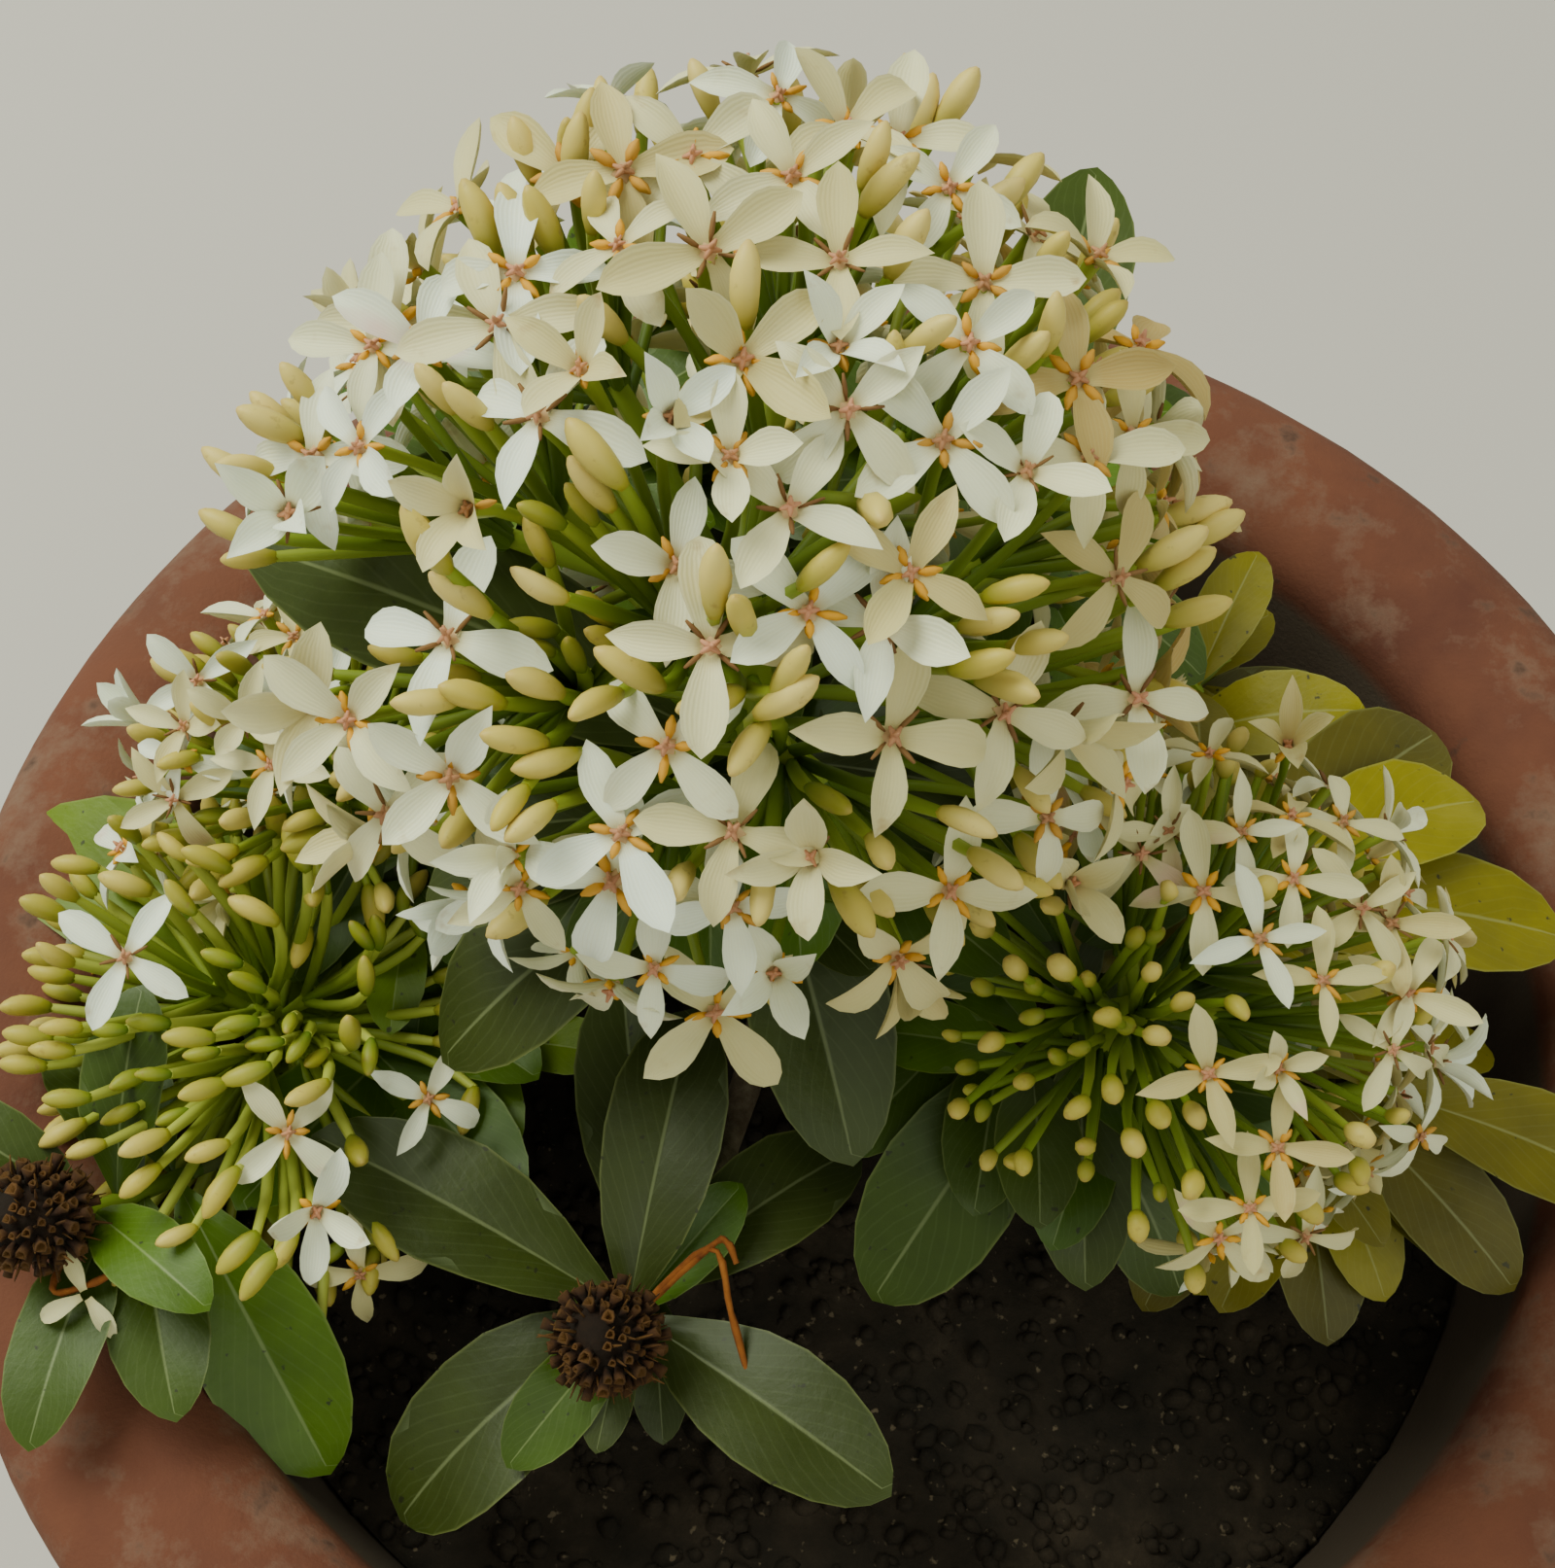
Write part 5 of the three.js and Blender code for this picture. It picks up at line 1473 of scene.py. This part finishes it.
def makeHeads():
    petal = makePetalFinish()
    tube = makeFinish("waxyFlowerTube", **tubeFinish)
    bud = makeFinish("waxyBud", **budFinish)
    centre = makeFinish("orangeAnther", **centreFinish)
    petalSet = shapeSet("petal shapes", petalMeshes())
    budSet = shapeSet("bud shapes", budMeshes())
    centreSet = shapeSet("centre shapes", centreMeshes())
    for name, head in heads.items():
        petals, buds, centres, tubes, knots = [], [], [], [], {}
        for flower in allFlowers(head, name):
            knots[tuple(flower["knot"])] = flower["knot"]
            if flower["kind"] == "bud":
                closedBud(head, flower, buds, tubes)
                continue
            place, reach = flower["place"], (flower["place"] - flower["root"]).length
            tubes.append(tubeOf(head, flower, place - flower["facing"] * (reach * 0.5), place))
            openFlower(head, flower, petals, centres)
        stalks = headStalks(head, knots.values(), name)
        pieces = [scatter("petals_" + name, petals, petalSet, petal),
                  stems("tubes_" + name, tubes, 6, tube),
                  stems("stalks_" + name, stalks, 8, tube),
                  scatter("buds_" + name, buds, budSet, bud),
                  scatter("centres_" + name, centres, centreSet, centre)]
        for piece in pieces:
            givePlace(piece, "blossom", "head_" + name)
        print("head", name, len(petals) // 4, "flowers,", len(buds), "buds,",
              [len(piece.data.polygons) for piece in pieces], "faces")


# The neck of a head and a stalk to each of its cymes, as paths.
def headStalks(head, knots, name):
    sizes = stalkSizes
    half = sizes["neckSteps"]
    foot = Vector(head["foot"])
    axis = Vector(head["axis"]).normalized()
    stem = Vector(shoots[name]["stem"])
    top = foot + axis * (head["rise"] * sizes["neckReach"])
    radii = [mix(sizes["stemRadius"], head["hub"], i / half) for i in range(half + 1)]
    radii += [head["hub"] * mix(1, sizes["neckTaper"], i / half) for i in range(1, half + 1)]
    paths = [(smoothThrough([stem - (foot - stem).normalized() * 2, foot, top], half), radii,
              sizes["neckTint"])]
    for number, knot in enumerate(knots):
        climb = max(0, (knot - foot).dot(axis) * sizes["climb"])
        root = foot + axis * min(climb, head["rise"] * sizes["highest"])
        end = knot + (knot - root).normalized() * sizes["past"]
        bow = (root + end) / 2 + axis * sizes["bow"]
        paths.append((bend(root, bow, end, len(sizes["radii"]) - 1), sizes["radii"],
                      sizes["tint"] + sizes["tintSpread"] * chance(number, 71)))
    return paths


makeHeads()


# The green stems of the shoots and their side twigs.
def makeTwigs():
    finish = makeFinish("greenTwig", **tubeFinish)
    steps, twigSteps = sideTwigs["stemSteps"], sideTwigs["steps"]
    paths = []
    for name, shoot in shoots.items():
        tip, stem = stemOf(name)[:2]
        foot = tip - (stem - tip).normalized() * 2
        thick = shoot["thick"] * barkSizes["tipShare"]
        paths.append(([foot.lerp(stem, i / steps) for i in range(steps + 1)],
                      [mix(thick, stalkSizes["stemRadius"], i / steps) for i in range(steps + 1)],
                      sideTwigs["stemTint"]))
        for start, end in [twig[:2] for twig in twigsOf(name)]:
            radii = [mix(sideTwigs["foot"], sideTwigs["end"], i / twigSteps)
                     for i in range(twigSteps + 1)]
            paths.append((bend(start, (start + end) / 2 - upwards, end, twigSteps), radii,
                          sideTwigs["tint"]))
    givePlace(stems("green_twigs", paths, 10, finish), "bark")
    print("twigs:", len(paths), "green stems and side twigs")


makeTwigs()


# Spent heads: a dark bed full of dry cups and bristles, with a hollow in its middle. The bed is
# (share of its half height, radius) along its axis.
spentSizes = {
    "radius": 7.6, "jitter": 1.1, "bedHalf": 8, "knob": 3.2, "lift": 1, "cups": 150,
    "bristles": 110, "spread": 158, "hollow": 20, "hollowAside": 22, "hollowTurn": 130,
    "cupSize": 0.95, "bristleSize": 1.0, "sizeJitter": 0.3, "lean": 0.4, "shapes": 3,
    "bed": [(-1, 1.9), (-0.8, 4.6), (-0.5, 6.6), (0, 7.6), (0.5, 6.6), (0.8, 4.4), (1, 0.8)],
    "stalk": 0.62, "stalkJitter": 0.15,
}
# Dry flower stalks left on them, as (pixel x, pixel y, height) from the stem on.
dryStalks = {
    "front": [[(729, 1284, 313), (752, 1350, 309), (772, 1425, 304)],
              [(729, 1284, 313), (748, 1278, 314), (758, 1300, 313)]],
    "left_low": [[(54, 1325, 316), (90, 1322, 317), (123, 1306, 318)]],
}
# A withered flower that has stayed on a dry stalk; one petal has fallen.
witheredFlower = {"pixel": (88, 1332), "height": 317, "index": 77, "size": 0.62, "lift": 0.3}


# Dry flower cups and stalks: dark brown at the foot, russet to golden at the ends, dull.
dryFinish = {
    "surface": {"Roughness": 0.95, "IOR": 1.4}, "blotches": (260, 4, 0.6),
    "grain": ((900, 3, 0.6), 0.4, 0.0005),
    "colours": {"dryFlowerCup": ("#1A0E0A", "#341D13", "#54341E", "#7E5626"),
                "dryFlowerBed": ("#110906", "#1E110B", "#301C12", "#1E110B"),
                "dryFlowerStalk": ("#6A3514", "#8E4E20", "#A8662E", "#9A5A28")},
}


def makeDryFinish(name):
    dark, middle, pale, ends = dryFinish["colours"][name]
    blotches = (dryFinish["blotches"], [(0.3, dark), (0.5, middle), (0.72, pale)])
    return makeFinish(name, dryFinish["surface"], base=blotches,
                      layers=[("place", 0.3, 1, 0.55, ends)], grain=dryFinish["grain"])


def cupMesh(number):
    wide = 0.85 + 0.25 * chance(number, 81)
    rings = [((0, 0, -1.5), 0.4, 0), ((0, 0, 0.8), 0.7, 0), ((0.1, 0, 2.5), wide, 30),
             ((0.1, 0, 2.6), wide * 0.7, 30), ((0, 0, 1.2), 0.4, 0)]
    return ringsMesh(f"cup {number}", rings, 7, 4, 0.2)


# The spots of the cups, and of the bristles among them, round the hollow in the middle.
def spentSpots(middle, axes):
    sizes = spentSizes
    hollow = directionIn(axes, sizes["hollowAside"], sizes["hollowTurn"])
    depth = 1 - math.cos(math.radians(sizes["spread"]))
    spots = []
    for count, firstShape, size, salt in (
            (sizes["cups"], 0, sizes["cupSize"], 82),
            (sizes["bristles"], sizes["shapes"], sizes["bristleSize"], 86)):
        for i in range(count):
            lift = 1 - (i + 0.5) / count * depth
            out = directionIn(axes, math.degrees(math.acos(lift)), i * goldenTurn + salt)
            if math.degrees(out.angle(hollow)) < sizes["hollow"]:
                continue
            lean = anyAcross(out, i, salt + 3) * sizes["lean"]
            own = size * (1 + jitter(i, salt + 1, sizes["sizeJitter"]))
            spots.append((middle + out * (sizes["radius"] + jitter(i, salt, sizes["jitter"])),
                          turnTo(*frameOf(out + lean * chance(i, salt + 2))), (own, own, own),
                          firstShape + i % sizes["shapes"], 0.5))
    return spots


def makeSpentHeads():
    sizes = spentSizes
    finish, dark, russet = [makeDryFinish(name) for name in dryFinish["colours"]]
    bristles = [rodMesh(f"bristle {i}", (0, 0, -0.5), (0.6 * i - 0.6, 0.3, 3.2 + i * 0.5),
                        (0.3, 0.26, 0.2, 0.1), 0.55 + 0.2 * i) for i in range(sizes["shapes"])]
    shapes = shapeSet("cup shapes", [cupMesh(i) for i in range(sizes["shapes"])] + bristles)
    for name, marked in dryStalks.items():
        tip, stem = stemOf(name)[:2]
        lean = ((stem - tip).normalized() + upwards).normalized()
        middle = stem + lean * (sizes["bedHalf"] + sizes["knob"] + sizes["lift"])
        cups = scatter("dry_cups_" + name, spentSpots(middle, frameOf(lean)), shapes, finish)
        bed = ([middle + lean * (sizes["bedHalf"] * share) for share, radius in sizes["bed"]],
               [radius for share, radius in sizes["bed"]], 0.5)
        neck = ([stem - lean, stem.lerp(middle, 0.5), middle], [1.9, 1.8, 1.8], 0.5)
        core = stems("dry_core_" + name, [bed, neck], 14, dark)
        for piece in (cups, core):
            givePlace(piece, "dried_flowers", "spent_" + name)
        paths = []
        for marks in marked:
            way = smoothThrough([stem] + [placeAt(mark[:2], mark[2]) for mark in marks], 5)
            radii = [sizes["stalk"] + jitter(i, 97, sizes["stalkJitter"])
                     for i in range(len(way))]
            paths.append((way, radii, 0.5))
        givePlace(stems("dry_stalks_" + name, paths, 6, russet), "dried_flowers")
    print("spent heads:", len(dryStalks), "with", sizes["cups"], "cups each")


makeSpentHeads()


def makeWitheredFlower():
    place = placeAt(witheredFlower["pixel"], witheredFlower["height"])
    facing = ((eye - place).normalized() + upwards * witheredFlower["lift"]).normalized()
    head = {**heads["left_front"], "flowerSize": witheredFlower["size"]}
    petals = []
    openFlower(head, dict(index=witheredFlower["index"], place=place, facing=facing), petals, [])
    flower = scatter("withered_flower", petals[1:], bpy.data.collections["petal shapes"],
                     bpy.data.materials["waxyWhitePetal"])
    givePlace(flower, "blossom")
    print("withered flower:", len(flower.data.polygons), "faces")


makeWitheredFlower()


# A pale floor under a soft white sky. A lamp is (name, place, size, power).
stageSizes = {
    "floor": 6.0, "floorColour": "#D3C9CA", "sky": 0.52, "light": "#F6FFE6", "aim": 0.3,
    "lamps": [("key", (-0.9, 0.5, 1.7), 1.1, 34.0), ("fill", (0.9, -1.0, 1.5), 1.4, 8.0)],
}


def makeStage():
    half = stageSizes["floor"] / 2
    mesh = bpy.data.meshes.new("pale_floor")
    mesh.from_pydata([(-half, -half, 0), (half, -half, 0), (half, half, 0), (-half, half, 0)],
                     [], [(0, 1, 2, 3)])
    finish = newMaterial("paleFloor", {
        "Base Color": stageSizes["floorColour"], "Roughness": 0.9})[0]
    floor = newObject("pale_floor", mesh, finish)
    world = bpy.data.worlds.new("softRoom")
    bpy.context.scene.world = world
    world.use_nodes = True
    sky = world.node_tree.nodes["Background"].inputs
    sky["Color"].default_value = linearColour(stageSizes["light"])
    sky["Strength"].default_value = stageSizes["sky"]
    for name, place, size, energy in stageSizes["lamps"]:
        lamp = bpy.data.lights.new(name, "AREA")
        lamp.size, lamp.energy = size, energy
        lamp.color = linearColour(stageSizes["light"])[:3]
        thing = newObject(name, lamp)
        thing.location = place
        aim = Vector(place) - Vector((0, 0, stageSizes["aim"]))
        thing.rotation_euler = aim.to_track_quat("Z", "Y").to_euler()
    print("stage: floor, sky and", len(stageSizes["lamps"]), "lamps")


def makeCamera():
    lens = bpy.data.cameras.new("photoCamera")
    lens.sensor_fit = "HORIZONTAL"
    lens.sensor_width = cameraSizes["sensor"]
    lens.lens = cameraSizes["focal"] / cameraSizes["width"] * cameraSizes["sensor"]
    lens.clip_start = 0.02
    camera = newObject("photoCamera", lens)
    turned = turnTo(*cameraAxes).to_4x4()
    camera.matrix_world = Matrix.Translation(eye * millimetre) @ turned
    bpy.context.scene.camera = camera
    print("camera: lens of", round(lens.lens, 1), "mm")


makeStage()
makeCamera()
